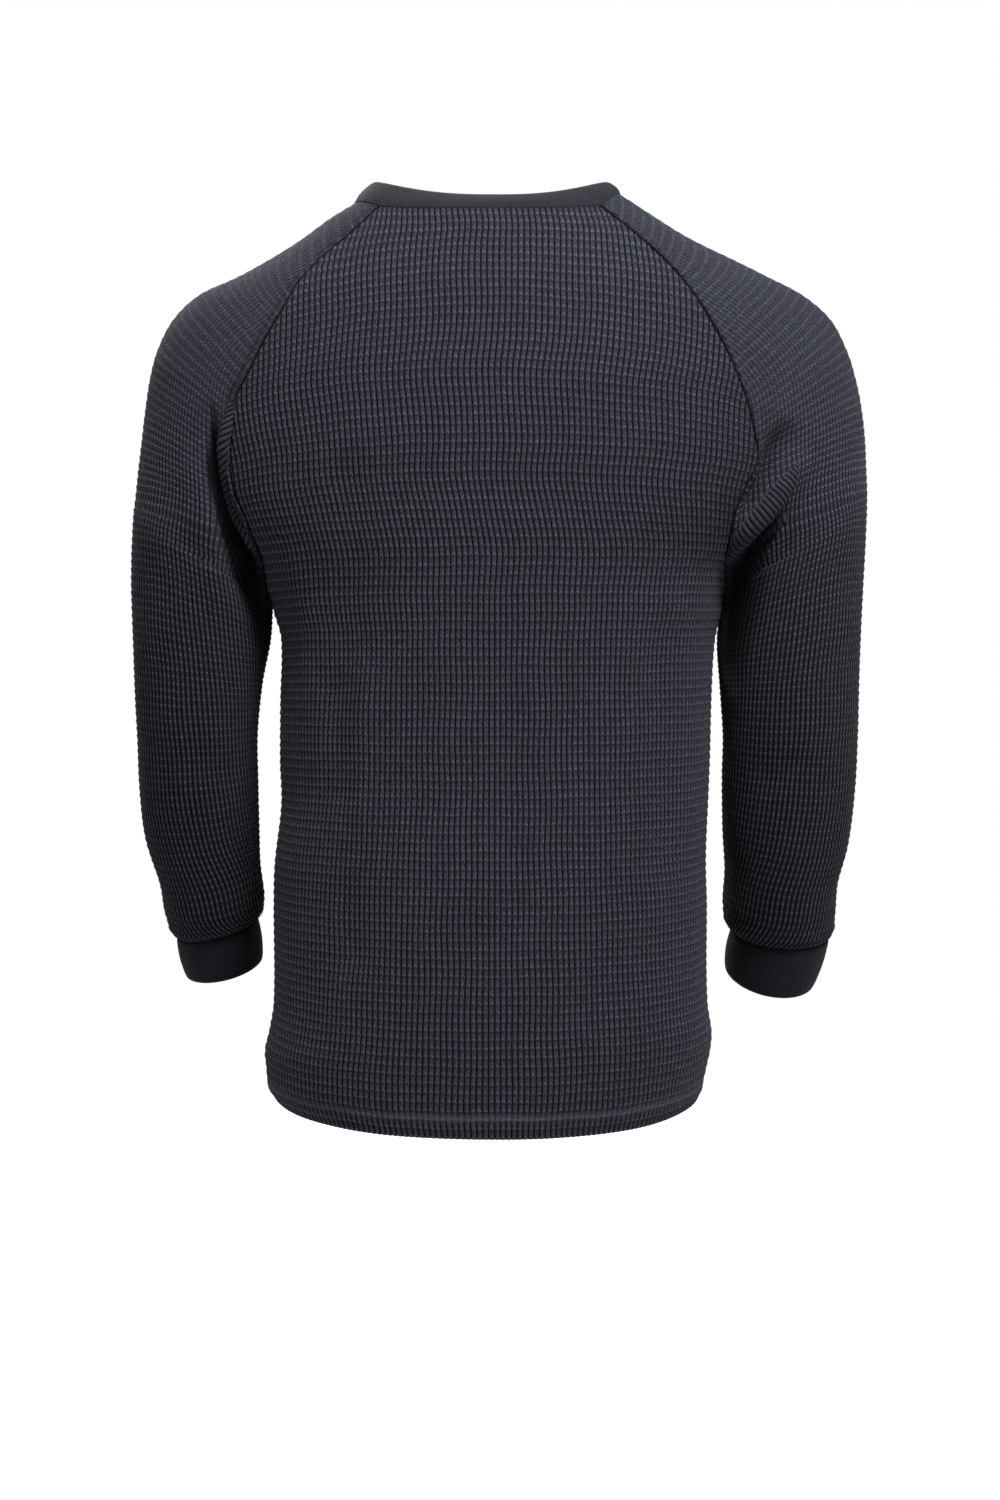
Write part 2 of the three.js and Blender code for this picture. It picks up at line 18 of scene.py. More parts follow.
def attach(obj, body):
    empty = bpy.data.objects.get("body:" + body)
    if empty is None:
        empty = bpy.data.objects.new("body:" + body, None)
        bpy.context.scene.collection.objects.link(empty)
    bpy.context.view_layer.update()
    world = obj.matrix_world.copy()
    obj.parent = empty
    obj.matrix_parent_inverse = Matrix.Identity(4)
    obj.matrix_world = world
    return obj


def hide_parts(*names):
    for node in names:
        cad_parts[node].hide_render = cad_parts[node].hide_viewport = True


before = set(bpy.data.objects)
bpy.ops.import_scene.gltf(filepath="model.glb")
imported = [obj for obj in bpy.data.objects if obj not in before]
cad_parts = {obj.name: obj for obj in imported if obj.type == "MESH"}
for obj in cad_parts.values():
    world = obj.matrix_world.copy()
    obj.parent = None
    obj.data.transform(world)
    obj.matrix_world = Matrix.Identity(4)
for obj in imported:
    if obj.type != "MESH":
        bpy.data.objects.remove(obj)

Array = np.ndarray
MM = 0.001
log = logging.getLogger("thermal_top")


class Face(Enum):
    """The side of the garment, with its sign along Y."""

    BACK = 1
    FRONT = -1


class Side(Enum):
    """The wearer's side, with its sign along X."""

    LEFT = 1
    RIGHT = -1


class Slot(Enum):
    """The record's material slots."""

    WAFFLE = "waffle_knit"
    TRIM = "trim_knit"


def mix(a: Array | float, b: Array | float, t: Array | float) -> Array:
    """Blend of a and b at t."""
    return a + (b - a) * t


def smooth(edge: float, full: float, value: Array) -> Array:
    """Smooth step from 0 at edge to 1 at full."""
    t = np.clip((value - edge) / (full - edge), 0, 1)
    return t * t * (3 - 2 * t)


def unit(vectors: Array) -> Array:
    """The vectors at length 1."""
    return vectors / np.maximum(np.linalg.norm(vectors, axis=-1, keepdims=True), 1e-9)


def lengths_along(points: Array) -> Array:
    """The distance along a line of points, from its first point."""
    steps = np.linalg.norm(np.diff(points, axis=0), axis=1)
    return np.concatenate([[0], np.cumsum(steps)])


def bell(away: Array, reach: Array | float) -> Array:
    """A smooth bump of height 1 at 0 that dies out past the reach."""
    return np.exp(-((away / reach) ** 2))


def each_row(values: Array, shape: tuple[int, int]) -> Array:
    """One value for each row, over all the columns of a grid of that shape."""
    return np.broadcast_to(values[:, None], shape)


def halved(quads: Array) -> Array:
    """Each four-sided face as two triangles, given as points or as values at its corners."""
    return np.concatenate([quads[:, [0, 1, 2]], quads[:, [0, 2, 3]]])


class Table:
    """Rows of named columns, read along a smooth curve at any value of the first column."""

    def __init__(self, columns: str, rows: list[tuple[float, ...]]) -> None:
        """Sorts the rows by their first column.

        Args:
            columns: the names of the columns, parted by spaces.
            rows: the rows of numbers.
        """
        names = columns.split()
        data = np.array(sorted(rows), dtype=float)
        self.keys = data[:, 0]
        self.columns = {name: data[:, i] for i, name in enumerate(names)}

    def read(self, column: str, at: Array | float) -> Array:
        """Reads a column.

        Args:
            column: its name.
            at: values of the first column.

        Returns:
            The column's values there.
        """
        keys, values = self.keys, self.columns[column]
        last = len(keys) - 1
        at = np.clip(at, keys[0], keys[-1])
        low = np.clip(np.searchsorted(keys, at) - 1, 0, last - 1)
        every = np.arange(last + 1)
        before, after = np.maximum(every - 1, 0), np.minimum(every + 1, last)
        slopes = (values[after] - values[before]) / (keys[after] - keys[before])
        span = keys[low + 1] - keys[low]
        t = (at - keys[low]) / span
        return (
            values[low] * (2 * t**3 - 3 * t**2 + 1)
            + slopes[low] * span * (t**3 - 2 * t**2 + t)
            + values[low + 1] * (3 * t**2 - 2 * t**3)
            + slopes[low + 1] * span * (t**3 - t**2)
        )


# The trunk's level sections: half widths to the wearer's left and right, half depths to the
# back and front, and the power of the superellipse.
TORSO = Table(
    "z left right back front power",
    [
        (-715, 157, 147, 131, 129, 2.3),
        (-700, 166.5, 154.5, 133, 131, 2.3),
        (-686, 175.5, 161, 134, 132, 2.3),
        (-672, 177, 164, 134, 132, 2.3),
        (-658, 178, 167, 134, 133, 2.3),
        (-644, 175, 168, 134, 133, 2.3),
        (-621, 171.6, 165, 133, 133, 2.3),
        (-543, 171.6, 164.6, 129, 131, 2.3),
        (-512, 171, 164, 127, 130, 2.3),
        (-466, 166, 166, 123, 128, 2.3),
        (-434, 167, 167, 121, 127, 2.3),
        (-387, 167, 168.5, 119, 127, 2.3),
        (-340, 166, 171, 118, 127, 2.3),
        (-320, 171.5, 175.5, 118, 127, 2.3),
        (-305, 176, 177, 118, 127, 2.3),
        (-285, 188, 184, 118, 127, 2.3),
        (-260, 212, 206, 119, 127, 2.25),
        (-230, 236, 236, 119, 127, 2.2),
        (-200, 252, 262, 119, 126, 2.12),
        (-170, 262, 274, 117, 122, 2.06),
        (-140, 264, 276, 114, 116, 2.03),
        (-110, 258, 268, 108, 106, 2.0),
        (-80, 236, 246, 101, 92, 1.92),
        (-55, 198, 206, 92, 80, 1.85),
        (-32, 158, 163, 82, 70, 1.82),
        (-12, 128, 128, 70, 62, 1.8),
        (10, 100, 95, 60, 54, 1.8),
    ],
)

# The raglan seams: heights and angles from the side of the left and right back seams, how much
# lower the front ones lie, their angle, and the heights of the panels' middles.
SEAM = Table(
    "station z_left left z_right right front_drop front z_back z_front",
    [
        (0, -10.5, 44.8, -11, 50, 28, 61, -17, -88),
        (1, -29, 46, -29, 49.5, 26, 60.5, -30, -99),
        (2, -54, 47.5, -52, 51, 21, 60, -46, -111),
        (3, -86, 50, -80, 53, 14, 57, -68, -125),
        (4, -111, 49, -113, 51.5, 11, 53.6, -92, -139),
        (5, -139, 46, -142, 49, 8, 50, -119, -155),
        (6, -163, 42, -168, 46, 6, 46.3, -145, -172),
        (7, -187, 39.5, -190, 43, 5, 43, -171, -192),
        (8, -211, 36, -211, 39, 4, 40, -198, -212),
        (9, -233, 33, -234, 36.5, 3, 37, -224, -232),
        (10, -256, 30, -256, 31.5, 2, 33, -252, -255),
        (11, -283, 21, -280, 20, 0, 21, -281, -282),
        (12, -311, 0, -305, 0, 0, 0, -311, -311),
    ],
)

# The sleeves' outer lines: place, half depth of the sections and their lean in degrees. Hold
# is 1 where a half row is a quarter round, and 0.5 where it is a half round.
OUTER = "station x z y depth hold lean"
OUTER_LINES = {
    Side.LEFT: Table(
        OUTER,
        [
            (0, 110, -1, -4, 35, 1, 0),
            (1, 129, -13, -5, 43, 1, 0),
            (2, 156.5, -33, -6, 50, 1, 0),
            (3, 197.5, -56.5, -6, 58, 1, 0),
            (4, 230, -71, -6, 64, 1, 0),
            (5, 251, -90.5, -6, 66, 1, 0),
            (6, 263, -114, -5, 68, 1, 0),
            (7, 269, -137, -5, 70, 0.98, 0),
            (8, 272.5, -161, -4, 71, 0.93, 0),
            (9, 275.2, -184, -3, 71, 0.86, 0),
            (10, 278, -207.5, -2, 70, 0.76, 0),
            (11, 280.2, -230, -1, 68, 0.61, 0),
            (12, 281.8, -250, 0, 66, 0.5, 0),
            (13, 283.4, -301, -2, 62, 0.5, 2),
            (14, 281.6, -365, -6, 59, 0.5, 5),
            (15, 280, -414, -12, 57, 0.5, 8),
            (16, 279.5, -453.2, -20, 55, 0.5, 11),
            (17, 275.8, -493, -30, 52, 0.5, 14),
            (18, 266, -529, -40, 48, 0.5, 16),
            (19, 263, -553.8, -50, 44, 0.5, 18),
            (20, 254.3, -573.6, -55, 34, 0.5, 18),
        ],
    ),
    Side.RIGHT: Table(
        OUTER,
        [
            (0, 98, 6, -4, 35, 1, 0),
            (1, 126, -12, -5, 43, 1, 0),
            (2, 159.4, -32, -6, 50, 1, 0),
            (3, 207, -55, -6, 58, 1, 0),
            (4, 239, -71, -6, 64, 1, 0),
            (5, 262, -90.5, -6, 66, 1, 0),
            (6, 274.6, -114, -5, 68, 1, 0),
            (7, 281.6, -137, -5, 70, 0.98, 0),
            (8, 286, -161, -4, 71, 0.93, 0),
            (9, 288.6, -184, -3, 71, 0.86, 0),
            (10, 289.6, -206, -2, 70, 0.76, 0),
            (11, 290, -225, -1, 68, 0.61, 0),
            (12, 289.4, -243, 0, 66, 0.5, 0),
            (13, 287.2, -301, -2, 62, 0.5, 2),
            (14, 284.6, -365, -6, 59, 0.5, 5),
            (15, 284.4, -414, -12, 57, 0.5, 8),
            (16, 283.3, -453.2, -20, 55, 0.5, 11),
            (17, 279, -497, -30, 53, 0.5, 14),
            (18, 271.8, -528.8, -40, 50, 0.5, 16),
            (19, 271, -555, -50, 46, 0.5, 18),
            (20, 266.9, -574.7, -55, 37, 0.5, 18),
        ],
    ),
}

# The sleeves' inner lines, from the armpit to the cuff seam.
INNER = "station x z"
INNER_LINES = {
    Side.LEFT: Table(
        INNER,
        [
            (12, 173.2, -311),
            (13, 174.9, -340),
            (14, 182.2, -375),
            (15, 186.6, -414),
            (16, 186.7, -449.2),
            (17, 186.6, -484.8),
            (18, 186.7, -517.2),
            (19, 184.4, -545.6),
            (20, 190.3, -558.3),
        ],
    ),
    Side.RIGHT: Table(
        INNER,
        [
            (12, 177, -305),
            (13, 173.4, -340),
            (14, 176, -375),
            (15, 178.8, -414),
            (16, 178.6, -449.2),
            (17, 180.2, -488.8),
            (18, 182.6, -521.2),
            (19, 181.8, -549.5),
            (20, 188.5, -569.9),
        ],
    ),
}

# Stations run from the neck (0) past the armpit to the cuff seam, and levels from the hem (0)
# past the armpit (1) to the neck.
ARMPIT = 12.0
CUFF_SEAM = 20.0
NECK_LEVEL = ARMPIT + 1
# The least depth of a sleeve's half row, as a share of the distance to its seam.
LEAST_ROUND = 0.8


@dataclass(frozen=True)
class Fold:
    """A soft ridge, or a trough where rise is below 0, along a line of x, z, width and rise."""

    face: Face
    line: list[list[float]]

    def lift(self, points: Array) -> Array:
        """How far the fold lifts each point.

        Args:
            points: points of the cloth.

        Returns:
            Their lifts.
        """
        nearest = np.full(len(points), np.inf)
        lift = np.zeros(len(points))
        knots = np.array(self.line, dtype=float)
        for start, end in zip(knots[:-1], knots[1:]):
            way = end[:2] - start[:2]
            beside = points[:, [0, 2]] - start[:2]
            t = np.clip(beside @ way / (way @ way), 0, 1)
            away = np.linalg.norm(beside - t[:, None] * way, axis=1)
            width, rise = mix(start[2], end[2], t), mix(start[3], end[3], t)
            lift = np.where(away < nearest, rise * bell(away, width), lift)
            nearest = np.minimum(nearest, away)
        return lift


def folds(face: Face, lines: list[list[list[float]]]) -> list[Fold]:
    """Folds of one face from their lines."""
    return [Fold(face, line) for line in lines]


BODY_FOLDS = folds(
    Face.BACK,
    [
        [
            [109, -200, 14, 0], [109, -224, 15, -3.2], [107, -275, 15, -3.2],
            [113, -350, 15, -2.5], [116, -385, 14, 0],
        ],
        [
            [155, -270, 11, 0], [152, -290, 12, 3.5], [138, -342, 12, 3.5], [141, -362, 11, 3],
            [130, -425, 12, 2.5], [124, -460, 12, 0],
        ],
        [[124, -360, 10, 0], [123, -378, 12, -3], [121, -440, 12, -3], [120, -470, 12, 0]],
        [[96, -350, 8, 0], [97, -370, 9, 2.5], [99.5, -470, 9, 2.5], [100, -500, 9, 0]],
        [[107, -515, 12, 0], [106, -535, 13, -3], [108, -580, 13, -3], [108, -600, 12, 0]],
        [
            [-122, -315, 13, 0], [-124, -345, 15, -3.5], [-125, -430, 15, -3],
            [-126, -500, 15, -3], [-126, -530, 14, 0],
        ],
        [[-19, -385, 16, 0], [-19, -405, 16, -1.5], [-19, -545, 16, -1.5], [-19, -570, 16, 0]],
        [[10, -390, 16, 0], [10, -410, 16, 1.2], [11, -545, 16, 1.2], [12, -565, 16, 0]],
    ],
) + folds(
    Face.FRONT,
    [
        [[124, -215, 14, 0], [116, -250, 16, -3.5], [98, -370, 16, -3.5], [94, -410, 14, 0]],
        [[91, -280, 14, 0], [90, -310, 15, 2.5], [84, -440, 15, 2.5], [82, -470, 14, 0]],
        [[-120, -225, 14, 0], [-114, -260, 16, -3.5], [-99, -360, 16, -3.5], [-94, -395, 14, 0]],
        [[-91, -310, 14, 0], [-93, -340, 15, 2.5], [-100, -510, 15, 2.5], [-102, -540, 14, 0]],
        [[20, -360, 16, 0], [18, -390, 18, -1.5], [12, -550, 18, -1.5], [10, -580, 16, 0]],
    ],
)
LEFT_FOLDS = folds(
    Face.BACK,
    [
        [
            [214, -164, 4, 0], [214, -182, 4, -8], [212, -211, 5, -13], [206, -236, 7, -16],
            [199, -262, 9, -16], [188, -290, 10, -13], [176, -320, 12, -6], [178, -350, 12, 0],
        ],
        [
            [232, -190, 10, 0], [229, -215, 12, 3.5], [222, -255, 12, 4], [208, -305, 12, 3],
            [202, -335, 12, 0],
        ],
        [[240, -426, 12, 0], [228, -432, 13, -2.5], [206, -444, 13, -2], [196, -449, 12, 0]],
    ],
) + folds(
    Face.FRONT,
    [
        [
            [226, -180, 9, 0], [220, -205, 11, -7], [208, -250, 12, -9], [194, -285, 11, -6],
            [186, -310, 11, 0],
        ],
        [[252, -225, 12, 0], [242, -242, 14, 4], [216, -288, 14, 4], [204, -310, 12, 0]],
        [[248, -417, 10, 0], [236, -421, 12, -4], [206, -433, 12, -4], [196, -438, 10, 0]],
        [[244, -443, 10, 0], [232, -447, 12, 3], [204, -459, 12, 3], [194, -464, 10, 0]],
    ],
)
RIGHT_FOLDS = folds(
    Face.BACK,
    [
        [
            [-226, -178, 8, 0], [-215, -195, 9, -11], [-203, -217, 9, -17], [-192, -238, 8, -15],
            [-184, -254, 6, 0],
        ],
        [
            [-242, -198, 8, 0], [-230, -212, 9, 6], [-214, -234, 9, 8], [-200, -250, 8, 8],
            [-190, -262, 7, 7], [-181, -276, 6, 4], [-174, -290, 5, 0],
        ],
        [[-246, -428, 12, 0], [-232, -438, 13, -2.5], [-208, -447, 13, -2], [-198, -451, 12, 0]],
    ],
) + folds(
    Face.FRONT,
    [
        [
            [-230, -180, 9, 0], [-223, -205, 11, -7], [-208, -248, 12, -9], [-195, -282, 11, -6],
            [-187, -308, 11, 0],
        ],
        [[-254, -225, 12, 0], [-244, -242, 14, 4], [-218, -286, 14, 4], [-206, -306, 12, 0]],
        [[-246, -420, 10, 0], [-236, -425, 12, -4], [-204, -437, 12, -4], [-194, -441, 10, 0]],
        [[-244, -446, 10, 0], [-232, -451, 12, 3], [-202, -463, 12, 3], [-192, -468, 10, 0]],
    ],
)

# A hollow's last number is the share of its depth that is taken away; on the sleeves it also sets
# how much shade is painted there.
LEFT_HOLLOWS = folds(
    Face.BACK,
    [
        [
            [214, -178, 4, 0], [213, -195, 4, 0.15], [211, -216, 5, 0.35], [206, -240, 6, 0.6],
            [199, -262, 8, 0.8], [190, -280, 10, 0.9], [182, -300, 11, 0.9],
            [178, -325, 9, 0.7], [180, -355, 8, 0.2], [182, -380, 8, 0],
        ],
    ],
)
RIGHT_HOLLOWS = folds(
    Face.BACK,
    [
        [
            [-216, -250, 2, 0], [-208, -260, 4, 0.6], [-197, -274, 7, 0.85],
            [-189, -289, 10, 0.95], [-184, -308, 12, 0.96], [-181, -334, 12, 0.95],
            [-180, -358, 10, 0.8], [-181, -385, 8, 0],
        ],
    ],
)


def torso_point(face: Face, angle: Array, z: Array) -> Array:
    """Points of the torso's level sections.

    Args:
        face: back or front.
        angle: angles from the wearer's left side to the right side.
        z: heights.

    Returns:
        The points, one for each angle and height.
    """
    across = np.cos(angle)
    half = np.where(across > 0, TORSO.read("left", z), TORSO.read("right", z))
    power = TORSO.read("power", z)
    bow = np.maximum(0, 1 - np.abs(across) ** power) ** (1 / power)
    depth = TORSO.read(face.name.lower(), z) * bow
    return np.stack([half * across, face.value * depth, z + 0 * across], axis=-1)


def seam_point(side: Side, face: Face, station: Array) -> Array:
    """Points of a raglan seam at its stations.

    Args:
        side: the wearer's side.
        face: back or front.
        station: stations from the neck (0) to the armpit.

    Returns:
        The points, one for each station.
    """
    name = side.name.lower()
    drop = SEAM.read("front_drop", station) if face is Face.FRONT else 0
    column = "front" if face is Face.FRONT else name
    angle = np.radians(SEAM.read(column, station))
    z = SEAM.read("z_" + name, station) - drop
    return torso_point(face, angle if side is Side.LEFT else math.pi - angle, z)


@dataclass
class KnitGrid:
    """Points that follow the knit, in rows of stitches by columns of stitches.

    A point past the end of its row is cut and sits on the end. One past an edge that runs
    across the columns is beyond it and sits on that edge. The margin is the distance to the
    seam, and sewn how strongly that seam shows. A closed row's ends meet. Plain is above 0
    where the ribs run together, as in the hem, and below 0 where the knit is pulled open. Tint
    lights the cloth above 0, and below 0 darkens it with painted shade in creases and hollows.
    """

    points: Array
    cut: Array
    beyond: Array
    column: Array
    row: Array
    margin: Array
    sewn: Array
    closed: Array
    plain: Array
    tint: Array

    def thinned(self, step: int) -> "KnitGrid":
        """Every step-th row and column of the grid."""
        every = slice(None, None, step)
        return KnitGrid(**{key: a[(every,) * min(a.ndim, 2)] for key, a in vars(self).items()})

    def names(self) -> Array:
        """Numbers the points so that all the cut points at one end of a row are one point.

        Returns:
            The number of each point, the same for points that are one.
        """
        rows, columns = self.cut.shape
        number = np.arange(rows * columns).reshape(rows, columns)
        right = np.arange(columns) > columns // 2
        ends = np.where(self.closed, number[:, 0], number[:, -1])[:, None]
        name = np.where(self.cut & ~right, number[:, :1], number)
        return np.where(self.cut & right, ends, name)


@dataclass
class Surface:
    """Triangles, with the maps of their corners and the grid point behind each point."""

    points: Array
    triangles: Array
    source: Array
    maps: dict[str, Array]

    def normals(self) -> Array:
        """The outward direction at each point.

        Returns:
            The directions, of length 1.
        """
        a, b, c = (self.points[self.triangles[:, i]] for i in range(3))
        across = np.cross(b - a, c - a)
        out = np.zeros_like(self.points)
        for i in range(3):
            np.add.at(out, self.triangles[:, i], across)
        return unit(out)

    def rims(self) -> list[list[int]]:
        """The open edges as closed chains of points, in the triangles' direction.

        Returns:
            The chains, each as the numbers of its points.
        """
        pairs = self.triangles[:, [0, 1, 1, 2, 2, 0]].reshape(-1, 2)
        count = len(self.points)
        keys = pairs[:, 0] * count + pairs[:, 1]
        backs = pairs[:, 1] * count + pairs[:, 0]
        after = {int(a): int(b) for a, b in pairs[~np.isin(keys, backs)]}
        chains = []
        while after:
            start, here = after.popitem()
            chain = [start]
            while here != start:
                chain.append(here)
                here = after.pop(here)
            chains.append(chain)
        return chains


def surface(grid: KnitGrid, flip: bool) -> Surface:
    """Joins a grid's points into triangles.

    Args:
        grid: the grid.
        flip: turns the triangles the other way round.

    Returns:
        The surface, without the parts that are cut off.
    """
    rows, columns = grid.cut.shape
    number = np.arange(rows * columns).reshape(rows, columns)
    kept = ~(grid.cut | grid.beyond)
    near = kept[:-1, :-1] | kept[:-1, 1:] | kept[1:, 1:] | kept[1:, :-1]
    corner = [number[:-1, :-1], number[:-1, 1:], number[1:, 1:], number[1:, :-1]]
    a, b, c, d = (part[near] for part in corner)
    corners = np.concatenate([np.stack([a, b, c], -1), np.stack([a, c, d], -1)])
    if flip:
        corners = corners[:, ::-1]
    triangles = grid.names().ravel()[corners]
    whole = (
        (triangles[:, 0] != triangles[:, 1])
        & (triangles[:, 1] != triangles[:, 2])
        & (triangles[:, 2] != triangles[:, 0])
    )
    corners, triangles = corners[whole], triangles[whole]
    source, triangles = np.unique(triangles, return_inverse=True)
    layers = {
        "knit": (grid.column, grid.row),
        "seam": (grid.margin, grid.sewn),
        "dress": (grid.plain, grid.tint),
    }
    maps = {
        key: np.stack([layer.ravel()[corners] for layer in pair], -1)
        for key, pair in layers.items()
    }
    points = grid.points.reshape(-1, 3)[source]
    return Surface(points, triangles.reshape(-1, 3), source, maps)


def zipped(outer: list[int], inner: list[int], points: Array) -> list[tuple[int, int, int]]:
    """Triangles of the rim between two chains that run side by side.

    Args:
        outer: the outer face's chain.
        inner: the inner face's chain, in the same direction.
        points: the points that both chains number.

    Returns:
        The rim's triangles, facing outwards.
    """
    first = int(np.argmin(np.linalg.norm(points[inner] - points[outer[0]], axis=1)))
    outer = outer + outer[:1]
    inner = inner[first:] + inner[:first] + [inner[first]]
    rim = []
    i = j = 0
    while i < len(outer) - 1 or j < len(inner) - 1:
        here, there = points[outer[i]], points[inner[j]]
        ahead = np.inf
        if i < len(outer) - 1:
            ahead = np.linalg.norm(points[outer[i + 1]] - there)
        if j == len(inner) - 1 or ahead <= np.linalg.norm(points[inner[j + 1]] - here):
            rim.append((outer[i + 1], outer[i], inner[j]))
            i += 1
        else:
            rim.append((outer[i], inner[j], inner[j + 1]))
            j += 1
    return rim


def make_object(
    name: str, points: Array, triangles: Array, **maps: Array
) -> bpy.types.Object:
    """Makes a smooth mesh object.

    Args:
        name: its name.
        points: in millimetres.
        triangles: three points each.
        maps: coordinates of each corner, by the name of their map.

    Returns:
        The object, in the scene.
    """
    mesh = bpy.data.meshes.new(name)
    mesh.vertices.add(len(points))
    mesh.vertices.foreach_set("co", (points * MM).astype(np.float32).ravel())
    mesh.loops.add(triangles.size)
    mesh.loops.foreach_set("vertex_index", triangles.astype(np.int32).ravel())
    mesh.polygons.add(len(triangles))
    mesh.polygons.foreach_set("loop_start", np.arange(0, triangles.size, 3, dtype=np.int32))
    mesh.polygons.foreach_set("use_smooth", np.ones(len(triangles), dtype=bool))
    for key, values in maps.items():
        layer = mesh.uv_layers.new(name=key)
        layer.data.foreach_set("uv", values.astype(np.float32).ravel())
    mesh.update()
    mesh.validate()
    made = bpy.data.objects.new(name, mesh)
    bpy.context.collection.objects.link(made)
    return made


@dataclass(frozen=True)
class Waffle:
    """The relief of the waffle knit: ribs between grooves, with a bar across each row."""

    column_steps: tuple[float, ...] = (0, 0.22, 0.78)
    row_steps: tuple[float, ...] = (0, 0.2, 0.6)
    groove: float = 1.15
    groove_knot: float = 0.3
    bar: tuple[float, ...] = (-0.3, 0.4, 0.0)
    uneven: float = 0.05
    plain_fill: float = 0.75
    plain_bar: float = 0.3

    def lift(self, plain: Array, seed: int) -> Array:
        """The height of each point of a grid, from how plain (0 to 1) the knit is there.

        Args:
            plain: how plain the knit is at each point.
            seed: the seed of the small unevenness.

        Returns:
            The heights.
        """
        rows, columns = plain.shape
        across = np.arange(columns) % len(self.column_steps)
        along = np.arange(rows) % len(self.row_steps)
        rib = np.array(self.bar)[along][:, None] + np.zeros(columns)
        knot = self.groove_knot * (along == 0)[:, None]
        fill = np.maximum(plain, 0)
        groove = mix(-self.groove - knot, rib, self.plain_fill * fill)
        rib = rib * mix(1, self.plain_bar, fill)
        jitter = np.random.default_rng(seed).normal(0, self.uneven, (rows, columns))
        return np.where(across == 0, groove, rib) + jitter


WAFFLE = Waffle()
# How strongly the side and underarm seams show beside the raglan seams.
SIDE_SEAM = 0.25


@dataclass
class Roll:
    """Cloth that rolls into a rounded edge along a line of x, z and radius.

    Strands of stitches wind round it. It is apart from every seam by a distance at which none
    shows.
    """

    face: Face
    line: list[list[float]]
    strand_pitch: float
    strand_depth: float
    strand_turn: float
    rise: float = 0.35
    strand_row: float = 0.7
    around: int = 24
    step: float = 0.6
    least: float = 0.05
    apart: float = 90.0
    nearby: int = 12
    smooth_degree: int = 5

    def path(self, points: Array, normals: Array) -> tuple[Array, Array, Array, Array]:
        """Lays the line on the cloth.

        Args:
            points: the cloth's points.
            normals: their outward directions.

        Returns:
            The distance along the line, its points, its outward directions and its radii.
        """
        facing = points[:, 1] * self.face.value > 0
        points, normals = points[facing], normals[facing]
        tree = kdtree.KDTree(len(points))
        for i, p in enumerate(points):
            tree.insert((p[0], 0, p[2]), i)
        tree.balance()
        knots = np.array(self.line, dtype=float)
        along = lengths_along(knots[:, :2])
        table = Table("along x z radius", [(a, *knot) for a, knot in zip(along, knots)])
        at = np.arange(0, along[-1], self.step)
        x, z, radius = (table.read(column, at) for column in ("x", "z", "radius"))
        near = [
            [hit[1] for hit in tree.find_n((a, 0, b), self.nearby)] for a, b in zip(x, z)
        ]
        y = points[np.array(near), 1].mean(1)
        smooth_y = np.polynomial.Polynomial.fit(at, y, self.smooth_degree)(at)
        out = unit(normals[np.array(near)].mean(1))
        return at, np.stack([x, smooth_y, z], -1), out, radius

    def mesh(self, points: Array, normals: Array) -> tuple[Array, Array, Array]:
        """Builds the roll on the cloth.

        Args:
            points: the cloth's points.
            normals: their outward directions.

        Returns:
            The roll's points, its triangles and the knit coordinates of their corners.
        """
        at, middle, out, radius = self.path(points, normals)
        forward = unit(np.gradient(middle, axis=0))
        out = unit(out - forward * (out * forward).sum(-1, keepdims=True))
        across = np.cross(forward, out)
        turn = np.linspace(0, 2 * math.pi, self.around, endpoint=False)
        phase = at[:, None] / self.strand_pitch + self.strand_turn * turn / math.pi
        strand = self.strand_depth * (1 - np.abs(np.sin(math.pi * phase))) ** 2
        size = np.maximum(radius[:, None] - strand, self.least)[..., None]
        ring = across[:, None] * np.cos(turn)[:, None] + out[:, None] * np.sin(turn)[:, None]
        made = (middle + out * self.rise * radius[:, None])[:, None] + ring * size
        number = np.arange(len(at) * self.around).reshape(len(at), self.around)
        a, d = number[:-1], number[1:]
        b, c = np.roll(a, -1, axis=1), np.roll(d, -1, axis=1)
        triangles = halved(np.stack([a, d, c, b], -1).reshape(-1, 4))
        knit = np.stack([phase.ravel()[triangles], np.full(triangles.shape, self.strand_row)], -1)
        wide = np.ptp(knit[..., 0], axis=1) > 1
        knit[wide, :, 0] = knit[wide, :1, 0]
        return made.reshape(-1, 3), triangles, knit


LEFT_ROLLS = [
    Roll(
        Face.BACK,
        [
            [193.8, -158.9, 0.5], [198.7, -170, 3.2], [201.4, -185.3, 4.6], [203.5, -195.5, 5],
            [203.5, -211.5, 4.6], [202, -226.8, 4.4], [199.7, -236.9, 4.6], [196, -247.8, 4.8],
            [190.1, -258, 4.8], [184.9, -268.5, 4.2], [182, -276, 0.8],
        ],
        strand_pitch=4.6,
        strand_depth=1.7,
        strand_turn=1.7,
    ),
]
RIGHT_ROLLS = [
    Roll(
        Face.BACK,
        [
            [-229, -209, 0.5], [-225, -217, 4], [-217.5, -228, 7.2], [-206, -243, 8.2],
            [-193, -258, 7.8], [-184, -270, 5.8], [-177, -283, 2],
        ],
        strand_pitch=3.7,
        strand_depth=1.3,
        strand_turn=-0.8,
        rise=0.2,
    ),
    Roll(
        Face.BACK,
        [[-223, -244, 0.5], [-216, -253, 3.2], [-208, -261, 3.8], [-199, -269, 1]],
        strand_pitch=3.7,
        strand_depth=0.9,
        strand_turn=-0.8,
        rise=0.7,
    ),
]


class Held(Enum):
    """How the top's cloth is held."""

    HUNG = "hung"
    STRETCHED = "stretched"


